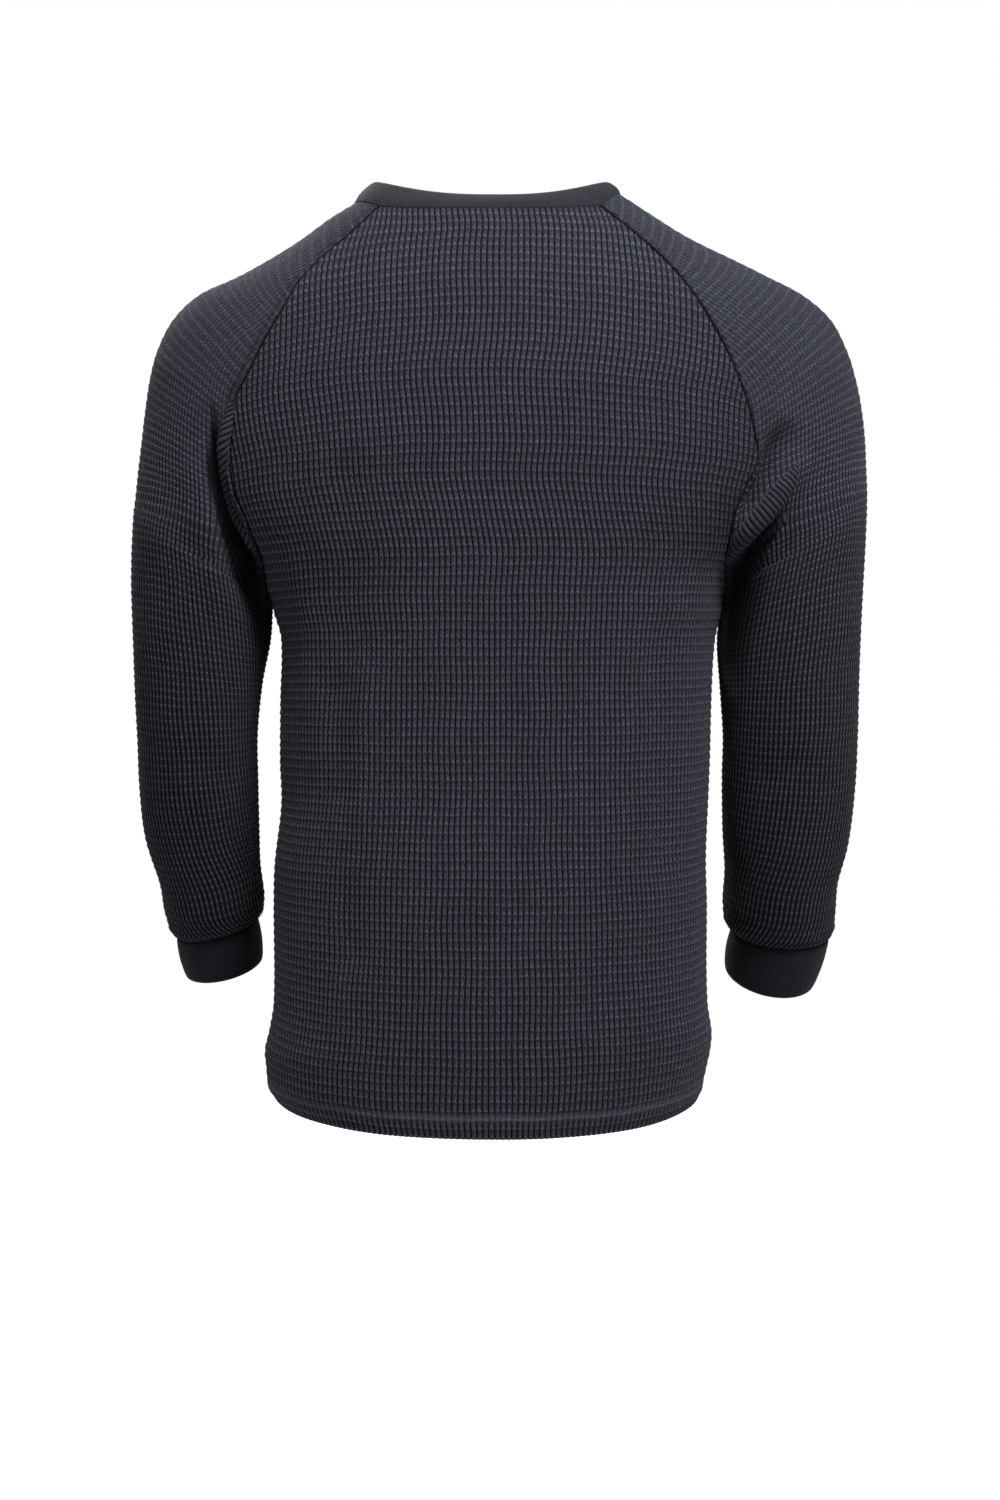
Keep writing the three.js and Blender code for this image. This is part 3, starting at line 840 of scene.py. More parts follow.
@dataclass(kw_only=True)
class CutPiece:
    """A cut piece of cloth: its flat size in metres, its area and what it rests on."""

    name: str
    flat: tuple[float, float]
    area: float
    rests_on: list[str]
    slot: Slot = Slot.WAFFLE
    held: Held = Held.HUNG

    def made(self, points: Array, triangles: Array, **maps: Array) -> bpy.types.Object:
        """Makes the piece's mesh.

        Args:
            points: in millimetres.
            triangles: three points each.
            maps: coordinates of each corner, by the name of their map.

        Returns:
            The piece, which stands in for its CAD node and hides it.
        """
        made = make_object(self.name + "_cloth", points, triangles, **maps)
        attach(made, "root")
        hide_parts(self.name)
        log.info("%s: %d triangles", made.name, len(triangles))
        return made


@dataclass(kw_only=True)
class KnitPiece(CutPiece):
    """A cut piece of waffle knit as a closed shell on its CAD node's form.

    The drift and wave spans are the lengths over which the cloth's slow waves turn by one
    radian.
    """

    folds: list[Fold]
    seed: int
    flip: bool = False
    thickness: float = 2.0
    fade: float = 10.0
    seam_dip: float = 1.1
    seam_reach: float = 1.2
    welt: float = 0.0
    welt_at: float = 2.8
    welt_reach: float = 1.9
    wave: float = 0.35
    wave_spans: tuple[float, ...] = (17, 41, 29, 23)
    drift: float = 0.5
    drift_across_spans: tuple[float, ...] = (11, 37, 23)
    drift_along_spans: tuple[float, ...] = (13, 29, 31, 17)
    rim_step: int = 3
    lining_step: int = 3
    lip_reach: float = 0.9
    lip_step: int = 3
    least_stitch: float = 0.4
    waffle: Waffle = WAFFLE
    hollows: list[Fold] = field(default_factory=list)
    rolls: list[Roll] = field(default_factory=list)

    def grid(self) -> KnitGrid:
        """The piece's grid of knit points."""
        raise NotImplementedError

    def edge_lift(self, grid: KnitGrid) -> Array:
        """The height that the seams and hems add at each point of the grid.

        Args:
            grid: the piece's grid.

        Returns:
            The heights.
        """
        dip = self.seam_dip * bell(grid.margin, self.seam_reach)
        welt = self.welt * bell(grid.margin - self.welt_at, self.welt_reach)
        return (welt - dip) * grid.sewn

    def fine(self, steps: tuple[float, ...], first: int, last: int) -> Array:
        """Knit coordinates from first to last, with the relief's steps between."""
        every = np.arange(first, last)[:, None] + np.array(steps)
        return np.append(every.ravel(), last)

    def reached(self, columns: Array, pitch: float, half: float) -> Array:
        """How far along its half row each column lies, with those past the end on the end."""
        reached = np.minimum(np.abs(columns) * pitch, half)
        return np.where(half - reached < self.least_stitch, half, reached)

    def folded(self, points: Array, normals: Array, rim: Array) -> Array:
        """Moves points by the piece's folds, hollows and slow waves.

        Args:
            points: the points to move.
            normals: their outward directions.
            rim: points on the open edges, where the folds die out.

        Returns:
            The moved points.
        """
        tree = kdtree.KDTree(len(rim))
        for i, p in enumerate(rim):
            tree.insert(p, i)
        tree.balance()
        edge = np.array([tree.find(p)[2] for p in points])
        near = smooth(0, self.fade, edge)
        flat = near * np.abs(normals[:, 1])
        lift = np.zeros(len(points))
        for fold in self.folds:
            facing = np.sign(normals[:, 1]) == fold.face.value
            lift += fold.lift(points) * flat * facing
        moved = np.zeros_like(points)
        for hollow in self.hollows:
            height = np.maximum(points[:, 1] * hollow.face.value, 0)
            moved[:, 1] -= hollow.face.value * height * hollow.lift(points) * near
        x, y, z = points.T
        a, b, c = self.drift_across_spans
        moved[:, 0] += self.drift * flat * np.sin(z / a + x / b + self.seed) * np.sin(x / c)
        a, b, c, d = self.drift_along_spans
        moved[:, 2] += self.drift * flat * np.sin(x / a - z / b) * np.cos(x / c + z / d)
        a, b, c, d = self.wave_spans
        lift += self.wave * np.sin(x / a + z / b + self.seed) * np.sin(z / c - y / d)
        return points + normals * lift[:, None] + moved

    def lip(self, edge: Array, normals: Array) -> Array:
        """The middle line of the cloth's rounded cut edge.

        Args:
            edge: the edge's points, in order.
            normals: the outward directions there.

        Returns:
            The line's points, one for each of the edge's.
        """
        along = np.roll(edge, -self.lip_step, axis=0) - np.roll(edge, self.lip_step, axis=0)
        side = unit(np.cross(along, normals))
        return edge - normals * self.thickness / 2 + side * self.lip_reach

    def build(self) -> bpy.types.Object:
        """Builds the shell, with its rounded cut edges and its rolls.

        Returns:
            The piece, which stands in for its CAD node and hides it.
        """
        grid = self.grid()
        outer = surface(grid, self.flip)
        inner = surface(grid.thinned(self.lining_step), self.flip)
        chains = outer.rims()
        rim = np.concatenate([outer.points[chain] for chain in chains])[:: self.rim_step]
        out, under = outer.normals(), inner.normals()
        lining = self.folded(inner.points, under, rim) - under * self.thickness
        relief = np.where(grid.cut | grid.beyond, 0, self.waffle.lift(grid.plain, self.seed))
        lift = (relief + self.edge_lift(grid)).ravel()[outer.source]
        skin = self.folded(outer.points, out, rim) + out * lift[:, None]
        count = len(skin)
        points = np.concatenate([skin, lining])
        inner_rims = [[i + count for i in chain] for chain in inner.rims()]
        rims = []
        for chain in chains:
            near = min(
                inner_rims,
                key=lambda other: np.linalg.norm(points[other].mean(0) - points[chain].mean(0)),
            )
            middle = list(range(len(points), len(points) + len(chain)))
            points = np.concatenate([points, self.lip(points[chain], out[chain])])
            rims += zipped(chain, middle, points) + zipped(middle, near, points)
        triangles = np.concatenate(
            [outer.triangles, inner.triangles[:, ::-1] + count, np.array(rims)]
        )
        edge = np.zeros((len(rims), 3, 2))
        maps = {
            key: np.concatenate([values, inner.maps[key][:, ::-1], edge])
            for key, values in outer.maps.items()
        }
        for roll in self.rolls:
            more, faces, knit = roll.mesh(skin, out)
            triangles = np.concatenate([triangles, faces + len(points)])
            points = np.concatenate([points, more])
            apart = np.full_like(knit, roll.apart)
            for key, values in (("knit", knit), ("seam", apart), ("dress", 0 * knit)):
                maps[key] = np.concatenate([maps[key], values])
        return self.made(points, triangles, **maps)


@dataclass(kw_only=True)
class BodyPanel(KnitPiece):
    """The back or front panel, from the hem to the neck.

    Widen is how far apart the columns lie at each level, as a share of the armpit's. The hem
    is lifted by hem_rise up to its stitched line, hem_rows above the edge. The line is a
    groove in which the knit is plainer and lighter.
    """

    face: Face = Face.BACK
    rows_below: int = 61
    rows_above: int = 43
    half_columns: float = 56.5
    lining_step: int = 6
    spare_columns: int = 7
    hem_side: float = -693
    hem_middle: float = -711.5
    hem_power: float = 2.2
    chest_power: float = 2.0
    widen: Table = field(
        default_factory=lambda: Table(
            "level factor", [(0, 1), (1, 1), (4, 1.02), (7, 1.06), (10, 1.08), (13, 1.06)]
        )
    )
    raglan_levels: tuple[float, float] = (0.9, 1.1)
    hem_rows: float = 2.32
    hem_rise: float = 0.5
    hem_rise_rows: float = 0.1
    hem_groove: float = 1.0
    hem_groove_rows: float = 0.2
    hem_line: float = 0.25
    hem_plain: float = 0.8
    hem_tint: float = 0.65
    edge_dip: float = 0.7
    edge_rows: float = 0.2
    neck_dip: float = 0.1
    neck_rows: float = 0.3
    samples: int = 361
    middle_samples: int = 200

    def station(self, level: float) -> float:
        """The station of the raglan seams at a level."""
        return np.clip(NECK_LEVEL - level, 0, ARMPIT)

    def end(self, level: float, side: Side) -> tuple[float, float]:
        """The height and angle of a row's end.

        Args:
            level: from 0 at the hem to 13 at the neck.
            side: which end.

        Returns:
            The height and the angle.
        """
        name = side.name.lower()
        station = self.station(level)
        front = self.face is Face.FRONT
        drop = SEAM.read("front_drop", station) if front else 0
        z = SEAM.read("z_" + name, station) - drop
        angle = np.radians(SEAM.read("front" if front else name, station))
        return mix(self.hem_side, z, min(level, 1)), angle

    def line(self, level: float, s: Array) -> Array:
        """Points of one row, from the wearer's left (s = 0) to the right (s = 1).

        Args:
            level: from 0 at the hem to 13 at the neck.
            s: places along the row.

        Returns:
            The points.
        """
        z_left, left = self.end(level, Side.LEFT)
        z_right, right = self.end(level, Side.RIGHT)
        below = min(level, 1)
        seam_z = SEAM.read("z_" + self.face.name.lower(), self.station(level))
        z_middle = mix(self.hem_middle, seam_z, below)
        power = mix(self.hem_power, self.chest_power, below)
        z_end = np.where(s < 0.5, z_left, z_right)
        z = mix(z_middle, z_end, np.abs(2 * s - 1) ** power)
        return torso_point(self.face, mix(left, math.pi - right, s), z)

    def levels(self, rows: Array) -> Array:
        """The level of each fine row, at even distances along the panel's middle.

        Args:
            rows: the fine rows, counted in stitches.

        Returns:
            The levels.
        """
        above = np.linspace(1, NECK_LEVEL, self.middle_samples)
        middle = np.array([self.line(level, np.array([0.5]))[0] for level in above])
        along = lengths_along(middle)
        part = (rows - self.rows_below) / self.rows_above * along[-1]
        return np.where(
            rows < self.rows_below, rows / self.rows_below, np.interp(part, along, above)
        )

    def grid(self) -> KnitGrid:
        """The panel's grid of knit points.

        Returns:
            The grid, from the hem up and from the wearer's left to the right.
        """
        reach = math.ceil(self.half_columns) + self.spare_columns
        columns = self.fine(WAFFLE.column_steps, -reach, reach)
        rows = self.fine(WAFFLE.row_steps, 0, self.rows_below + self.rows_above)
        levels = self.levels(rows)
        s = np.linspace(0, 1, self.samples)
        shape = (len(rows), len(columns))
        points, margin, column = np.zeros(shape + (3,)), np.zeros(shape), np.zeros(shape)
        at_armpit: dict[Side, float] = {}
        for r in [int(np.argmax(rows >= self.rows_below)), *range(len(rows))]:
            level = levels[r]
            along = lengths_along(self.line(level, s))
            middle = np.interp(0.5, s, along)
            halves = {Side.LEFT: middle, Side.RIGHT: along[-1] - middle}
            at_armpit = at_armpit or dict(halves)
            place = np.zeros(len(columns))
            for side, half in halves.items():
                pitch = half / self.half_columns
                if level > 1:
                    pitch = at_armpit[side] / self.half_columns * self.widen.read("factor", level)
                mine = columns < 0 if side is Side.LEFT else columns >= 0
                reached = self.reached(columns[mine], pitch, half)
                margin[r, mine] = half - reached
                column[r, mine] = np.sign(columns[mine]) * reached / pitch
                place[mine] = middle + (reached if side is Side.RIGHT else -reached)
            points[r] = self.line(level, np.interp(place, along, s))
        hem = bell(rows - self.hem_rows, self.hem_line)
        return KnitGrid(
            points,
            margin == 0,
            np.zeros(shape, bool),
            column,
            each_row(rows, shape),
            margin,
            each_row(mix(SIDE_SEAM, 1, smooth(*self.raglan_levels, levels)), shape),
            np.zeros(len(rows), bool),
            each_row(hem * self.hem_plain, shape),
            each_row(hem * self.hem_tint, shape),
        )

    def edge_lift(self, grid: KnitGrid) -> Array:
        """The seams, the turned-up hem with its groove, and the dip at the neckband.

        Args:
            grid: the panel's grid.

        Returns:
            The heights.
        """
        turned = smooth(
            self.hem_rows + self.hem_rise_rows, self.hem_rows - self.hem_rise_rows, grid.row
        )
        groove = self.hem_groove * bell(grid.row - self.hem_rows, self.hem_groove_rows)
        edge = self.edge_dip * bell(grid.row, self.edge_rows)
        total = self.rows_below + self.rows_above
        neck = self.neck_dip * bell(total - grid.row, self.neck_rows)
        return super().edge_lift(grid) + turned * self.hem_rise - groove - edge - neck


@dataclass(kw_only=True)
class Sleeve(KnitPiece):
    """A raglan sleeve, from the neck to the cuff seam.

    Spacing is how far apart the rows cross the outer line at each station. Skew is how many
    stations a row's end lies past its middle, and shoulder how plain (above 0) or open (below
    0) the knit is. The welt line is a dip beside the raglan seam with painted shade in it, and
    the hollow shade paints shade into the sleeve's deep hollows. The cloth tucks in at
    the cuff seam and swells over it.
    """

    side: Side
    rows_above: int = 44
    rows_below: int = 57
    rows_before: int = 3
    spacing: Table = field(
        default_factory=lambda: Table(
            "station wide", [(0, 1.42), (5, 1.42), (7, 1.2), (9, 1), (20, 1)]
        )
    )
    pitch_above: float = 3.75
    pitch_below: float = 3.9
    pitch_change: tuple[float, float] = (5, 14)
    reach: int = 62
    row_pitch: float = 5.9
    welt: float = 1.3
    waffle: Waffle = Waffle(groove=1.05, bar=(-0.3, 0.35, 0.0))
    skew: Table = field(
        default_factory=lambda: Table(
            "station turn",
            [
                (-1, 1), (4, 1), (6, 0.5), (8, -0.1), (10, -0.45), (11, -0.7), (12, -0.75),
                (12.6, -0.55), (13.3, -0.25), (14, 0), (20, 0),
            ],
        )
    )
    shoulder: Table = field(
        default_factory=lambda: Table(
            "station plain",
            [(-1, 0.6), (5, 0.6), (8, 0.3), (11, -0.2), (14, -0.8), (16, -1), (20, -1)],
        )
    )
    side_seam_change: tuple[float, float] = (11.8, 12.4)
    # The welt line paints shade into the crease beside the welt and dips the cloth there.
    welt_line: float = 0.0
    welt_line_at: float = 5.2
    welt_line_reach: float = 0.8
    welt_line_dip: float = 0.6
    welt_line_full: float = 10
    # Painted shade in the deep hollows, as a share of the tint's full darkness.
    hollow_shade: float = 0.85
    tuck: float = 1.2
    tuck_reach: float = 2.5
    overhang: float = 2.0
    overhang_at: float = 9
    overhang_reach: float = 6
    past_neck_step: float = 0.5
    samples: int = 181
    outline_samples: int = 400
    row_parts: int = 100

    def half_row(self, face: Face, station: Array, t: Array) -> Array:
        """Points of the sleeve.

        Args:
            face: the back or front half.
            station: from 0 at the neck to 20 at the cuff seam.
            t: 0 at the raglan seam or the inner line, 1 at the outer line.

        Returns:
            The points.
        """
        outer, sign = OUTER_LINES[self.side], face.value
        x = self.side.value * outer.read("x", station)
        y, z, depth = (outer.read(column, station) for column in ("y", "z", "depth"))
        tube = station > ARMPIT
        hold = np.where(station < ARMPIT, outer.read("hold", station), 0.5)
        lean = np.where(station < ARMPIT, 0, np.radians(outer.read("lean", station)))
        inner = INNER_LINES[self.side]
        inner_x = self.side.value * inner.read("x", station)
        low = np.stack([inner_x, y, inner.read("z", station)], -1)
        start = np.where(tube[:, None], low, seam_point(self.side, face, station))
        start_angle = np.arccos(np.clip(-(1 - hold) / hold, -1, 0))
        angle = start_angle * (1 - t)
        reach = sign * (start[:, 1] - y)
        even = np.maximum(depth, LEAST_ROUND * reach)
        miss = reach - even * np.sin(start_angle)
        bow = even * np.sin(angle) + miss * (angle / start_angle) ** 2
        part = 1 - hold + hold * np.cos(angle)
        return np.stack(
            [
                mix(start[:, 0], x, part),
                y + sign * bow * np.cos(lean),
                mix(start[:, 2], z, part) - sign * bow * np.sin(lean),
            ],
            -1,
        )

    def spread(self, low: float, high: float, count: int) -> Array:
        """Stations along the outer line, wider apart where the rows cross it aslant.

        Args:
            low: the first station.
            high: the last station.
            count: how many knit rows lie between.

        Returns:
            The stations, a hundred for each row.
        """
        outer = OUTER_LINES[self.side]
        fine = np.linspace(low, high, self.outline_samples)
        line = np.stack([outer.read(column, fine) for column in ("x", "y", "z")], -1)
        steps = np.diff(lengths_along(line)) / self.spacing.read("wide", fine[1:])
        along = np.concatenate([[0], np.cumsum(steps)])
        return np.interp(np.linspace(0, along[-1], count * self.row_parts + 1), along, fine)

    def row_stations(self) -> tuple[Array, Array]:
        """The knit rows and the station at which each meets the outer line.

        Returns:
            The rows, counted in stitches, and their stations.
        """
        rows = self.fine(WAFFLE.row_steps, -self.rows_before, self.rows_above + self.rows_below)
        above = self.spread(0, ARMPIT, self.rows_above)
        below = self.spread(ARMPIT, CUFF_SEAM, self.rows_below)
        every = np.concatenate([above, below[1:]])
        at = np.interp(rows * self.row_parts, np.arange(len(every)), every)
        return rows, np.where(rows < 0, rows / self.rows_before, at)

    def grid(self) -> KnitGrid:
        """The sleeve's grid of knit points.

        Returns:
            The grid, from the neck down, with the back half first.
        """
        rows, stations = self.row_stations()
        columns = self.fine(WAFFLE.column_steps, -self.reach, self.reach)
        shape = (len(rows), len(columns))
        points, margin, column = np.zeros(shape + (3,)), np.zeros(shape), np.zeros(shape)
        beyond = np.zeros(shape, bool)
        t = np.linspace(1, 0, self.samples)
        ends = stations + self.skew.read("turn", stations)
        for r, outer in enumerate(stations):
            turn = self.skew.read("turn", outer)
            pitch = mix(self.pitch_above, self.pitch_below, smooth(*self.pitch_change, outer))
            for face in Face:
                mine = columns < 0 if face is Face.BACK else columns >= 0
                station = outer + turn * (1 - t)
                line = self.half_row(face, np.maximum(station, 0), t)
                near = self.half_row(face, np.full_like(t, self.past_neck_step), t)
                step = (near - self.half_row(face, np.zeros_like(t), t)) / self.past_neck_step
                along = lengths_along(line + step * np.minimum(station, 0)[:, None])
                half = along[-1]
                reached = self.reached(columns[mine], pitch, half)
                at = np.interp(reached, along, t)
                station = outer + turn * (1 - at)
                points[r, mine] = self.half_row(face, np.maximum(station, 0), at)
                margin[r, mine] = half - reached
                beyond[r, mine] = station <= 0
                column[r, mine] = np.sign(columns[mine]) * reached / pitch
        # Painted shade: a negative tint darkens the colour in the crease beside the welt and in
        # the deep hollows, and dips the cloth there a little.
        beside_welt = bell(margin - self.welt_line_at, self.welt_line_reach)
        on_raglan = smooth(ARMPIT, self.welt_line_full, ends)[:, None]
        dark = np.maximum(
            self.welt_line * beside_welt * on_raglan, self.hollow_shade * self.hollow_share(points)
        )
        return KnitGrid(
            points,
            margin == 0,
            beyond,
            column,
            each_row(rows, shape),
            margin,
            each_row(mix(1, SIDE_SEAM, smooth(*self.side_seam_change, ends)), shape),
            ends >= ARMPIT,
            each_row(self.shoulder.read("plain", stations), shape),
            -dark,
        )

    def hollow_share(self, points: Array) -> Array:
        """How deep in the sleeve's hollows, from 0 to 1, each point of the grid lies.

        Args:
            points: the grid's points.

        Returns:
            The shares.
        """
        share = np.zeros(points.shape[:-1])
        for hollow in self.hollows:
            facing = np.sign(points[..., 1]) == hollow.face.value
            share += facing * hollow.lift(points.reshape(-1, 3)).reshape(share.shape)
        return np.clip(share, 0, 1)

    def edge_lift(self, grid: KnitGrid) -> Array:
        """The seams, and the cloth that swells over the cuff seam.

        Args:
            grid: the sleeve's grid.

        Returns:
            The heights.
        """
        left = (self.rows_above + self.rows_below - grid.row) * self.row_pitch
        swell = self.overhang * bell(left - self.overhang_at, self.overhang_reach)
        tuck = self.tuck * bell(left, self.tuck_reach)
        return super().edge_lift(grid) + swell - tuck + grid.tint * self.welt_line_dip

    def seam_loop(self, station: float, count: int) -> Array:
        """A sleeve row from the back seam over the outer line to the front seam.

        Args:
            station: the row's station.
            count: points on each half.

        Returns:
            The points, in order.
        """
        t = np.linspace(0, 1, count)
        at = np.full_like(t, station)
        back, front = (self.half_row(face, at, t) for face in Face)
        return np.concatenate([back, front[-2::-1]])


@dataclass(kw_only=True)
class TrimBand(CutPiece):
    """A closed band of smooth fine knit, sewn on at one edge: the neckband or a cuff."""

    slot: Slot = Slot.TRIM
    held: Held = Held.STRETCHED
    around: int = 560
    rows: int = 12
    thickness: float = 2.3
    bulge: float = 2.5
    round: float = 0.35
    stitch: tuple[float, float] = (1.25, 0.95)

    def edges(self) -> tuple[Array, Array]:
        """The seam loop and the free edge's loop."""
        raise NotImplementedError

    def loops(self, seam: Array, edge: Array) -> tuple[Array, Array]:
        """Loops from the seam over the outer face and the rounded free edge to the lining.

        Args:
            seam: the seam loop.
            edge: the free edge's loop.

        Returns:
            The loops, and the outward direction at the first point.
        """
        t = np.linspace(0, 1, self.rows)[:, None, None]
        out = seam - seam.mean(0)
        out[:, 2] = 0
        base = mix(seam, edge, t) + unit(out) * self.bulge * np.sin(math.pi * t)
        along = np.gradient(base, axis=0)
        around = np.roll(base, -1, axis=1) - np.roll(base, 1, axis=1)
        normal = unit(np.cross(around, along))
        normal = normal * np.sign((normal * unit(out)).sum(-1).mean())
        skin = base.copy()
        skin[0] -= normal[0] * self.round
        skin[-1] -= normal[-1] * self.round
        tip = base[-1] + unit(along)[-1] * self.round - normal[-1] * self.thickness / 2
        lining = base - normal * self.thickness
        lining[-1] += normal[-1] * self.round
        return np.concatenate([skin, tip[None], lining[::-1]]), normal[0, 0]

    def stitches(self, loops: Array, girth: float) -> Array:
        """Counts the stitches to each corner of the band's four-sided faces.

        Args:
            loops: the band's loops.
            girth: the length of its seam.

        Returns:
            Stitches across and along, for the four corners of each face.
        """
        high = np.cumsum(np.linalg.norm(np.diff(loops, axis=0), axis=-1).mean(1))
        high = np.concatenate([[0], high, high[-1:] + self.thickness]) / self.stitch[1]
        wide = np.arange(self.around + 1) * girth / self.around / self.stitch[0]
        low, up = np.meshgrid(wide[:-1], high[:-1]), np.meshgrid(wide[1:], high[1:])
        corners = [(low[0], low[1]), (up[0], low[1]), (up[0], up[1]), (low[0], up[1])]
        return np.stack([np.stack(pair, -1) for pair in corners], -2).reshape(-1, 4, 2)

    def build(self) -> bpy.types.Object:
        """Builds the band.

        Returns:
            The piece, which stands in for its CAD node and hides it.
        """
        seam, edge = self.edges()
        loops, outward = self.loops(seam, edge)
        number = np.arange(loops[..., 0].size).reshape(loops.shape[:2])
        a, b = number, np.roll(number, -1, axis=1)
        c, d = np.roll(b, -1, axis=0), np.roll(a, -1, axis=0)
        triangles = halved(np.stack([a, b, c, d], -1).reshape(-1, 4))
        knit = halved(self.stitches(loops, lengths_along(seam)[-1]))
        points = loops.reshape(-1, 3)
        first = points[triangles[0]]
        facing = np.cross(first[1] - first[0], first[2] - first[0])
        if facing @ outward < 0:
            triangles, knit = triangles[:, ::-1], knit[:, ::-1]
        return self.made(points, triangles, knit=knit)


@dataclass(kw_only=True)
class Neckband(TrimBand):
    """The band round the neckline."""

    back: BodyPanel
    front: BodyPanel
    left: Sleeve
    right: Sleeve
    half_left: float = 95
    half_right: float = 89
    half_back: float = 55
    half_front: float = 76
    side_z: float = 16
    back_z: float = -3
    front_z: float = -68
    power: float = 2.4
    panel_samples: int = 121
    sleeve_samples: int = 41

    def evenly(self, loop: Array) -> Array:
        """A closed loop's points at even distances.

        Args:
            loop: the loop's points.

        Returns:
            As many points as the band has round it.
        """
        closed = np.concatenate([loop, loop[:1]])
        along = lengths_along(closed)
        at = np.linspace(0, along[-1], self.around + 1)[:-1]
        return np.stack([np.interp(at, along, closed[:, i]) for i in range(3)], -1)

    def edges(self) -> tuple[Array, Array]:
        """The seam loop and the free edge's loop.

        Returns:
            Both loops, point for point.
        """
        s = np.linspace(0, 1, self.panel_samples)
        parts = [
            self.back.line(NECK_LEVEL, s),
            self.right.seam_loop(0, self.sleeve_samples),
            self.front.line(NECK_LEVEL, s)[::-1],
            self.left.seam_loop(0, self.sleeve_samples)[::-1],
        ]
        seam = self.evenly(np.concatenate([part[:-1] for part in parts]))
        half_x = np.where(seam[:, 0] > 0, self.half_left, self.half_right)
        half_y = np.where(seam[:, 1] > 0, self.half_back, self.half_front)
        middle = np.where(seam[:, 1] > 0, self.back_z, self.front_z)
        angle = np.arctan2(seam[:, 1] / half_y, seam[:, 0] / half_x)
        across = np.cos(angle)
        z = mix(middle, self.side_z, np.abs(across) ** self.power)
        return seam, np.stack([across * half_x, np.sin(angle) * half_y, z], -1)


@dataclass(kw_only=True)
class Cuff(TrimBand):
    """A close cuff, from its seam with the sleeve to its free end."""

    sleeve: Sleeve
    outer_end: tuple[float, float, float]
    inner_end: tuple[float, float]
    depth: float
    lean: float
    around: int = 240
    bulge: float = 1.5

    def edges(self) -> tuple[Array, Array]:
        """The seam loop and the free edge's loop.

        Returns:
            Both loops, point for point.
        """
        count = self.around // 2 + 1
        seam = self.sleeve.seam_loop(CUFF_SEAM, count)[:-1]
        sign = self.sleeve.side.value
        x, y, z = self.outer_end
        angle = math.pi * (1 - np.linspace(0, 1, count))
        part, bow = 0.5 + 0.5 * np.cos(angle), self.depth * np.sin(angle)
        lean = math.radians(self.lean)
        halves = [
            np.stack(
                [
                    sign * mix(self.inner_end[0], x, part),
                    y + face.value * bow * math.cos(lean),
                    mix(self.inner_end[1], z, part) - face.value * bow * math.sin(lean),
                ],
                -1,
            )
            for face in Face
        ]
        return seam, np.concatenate([halves[0], halves[1][-2::-1]])[:-1]


Colour = tuple[float, float, float, float]


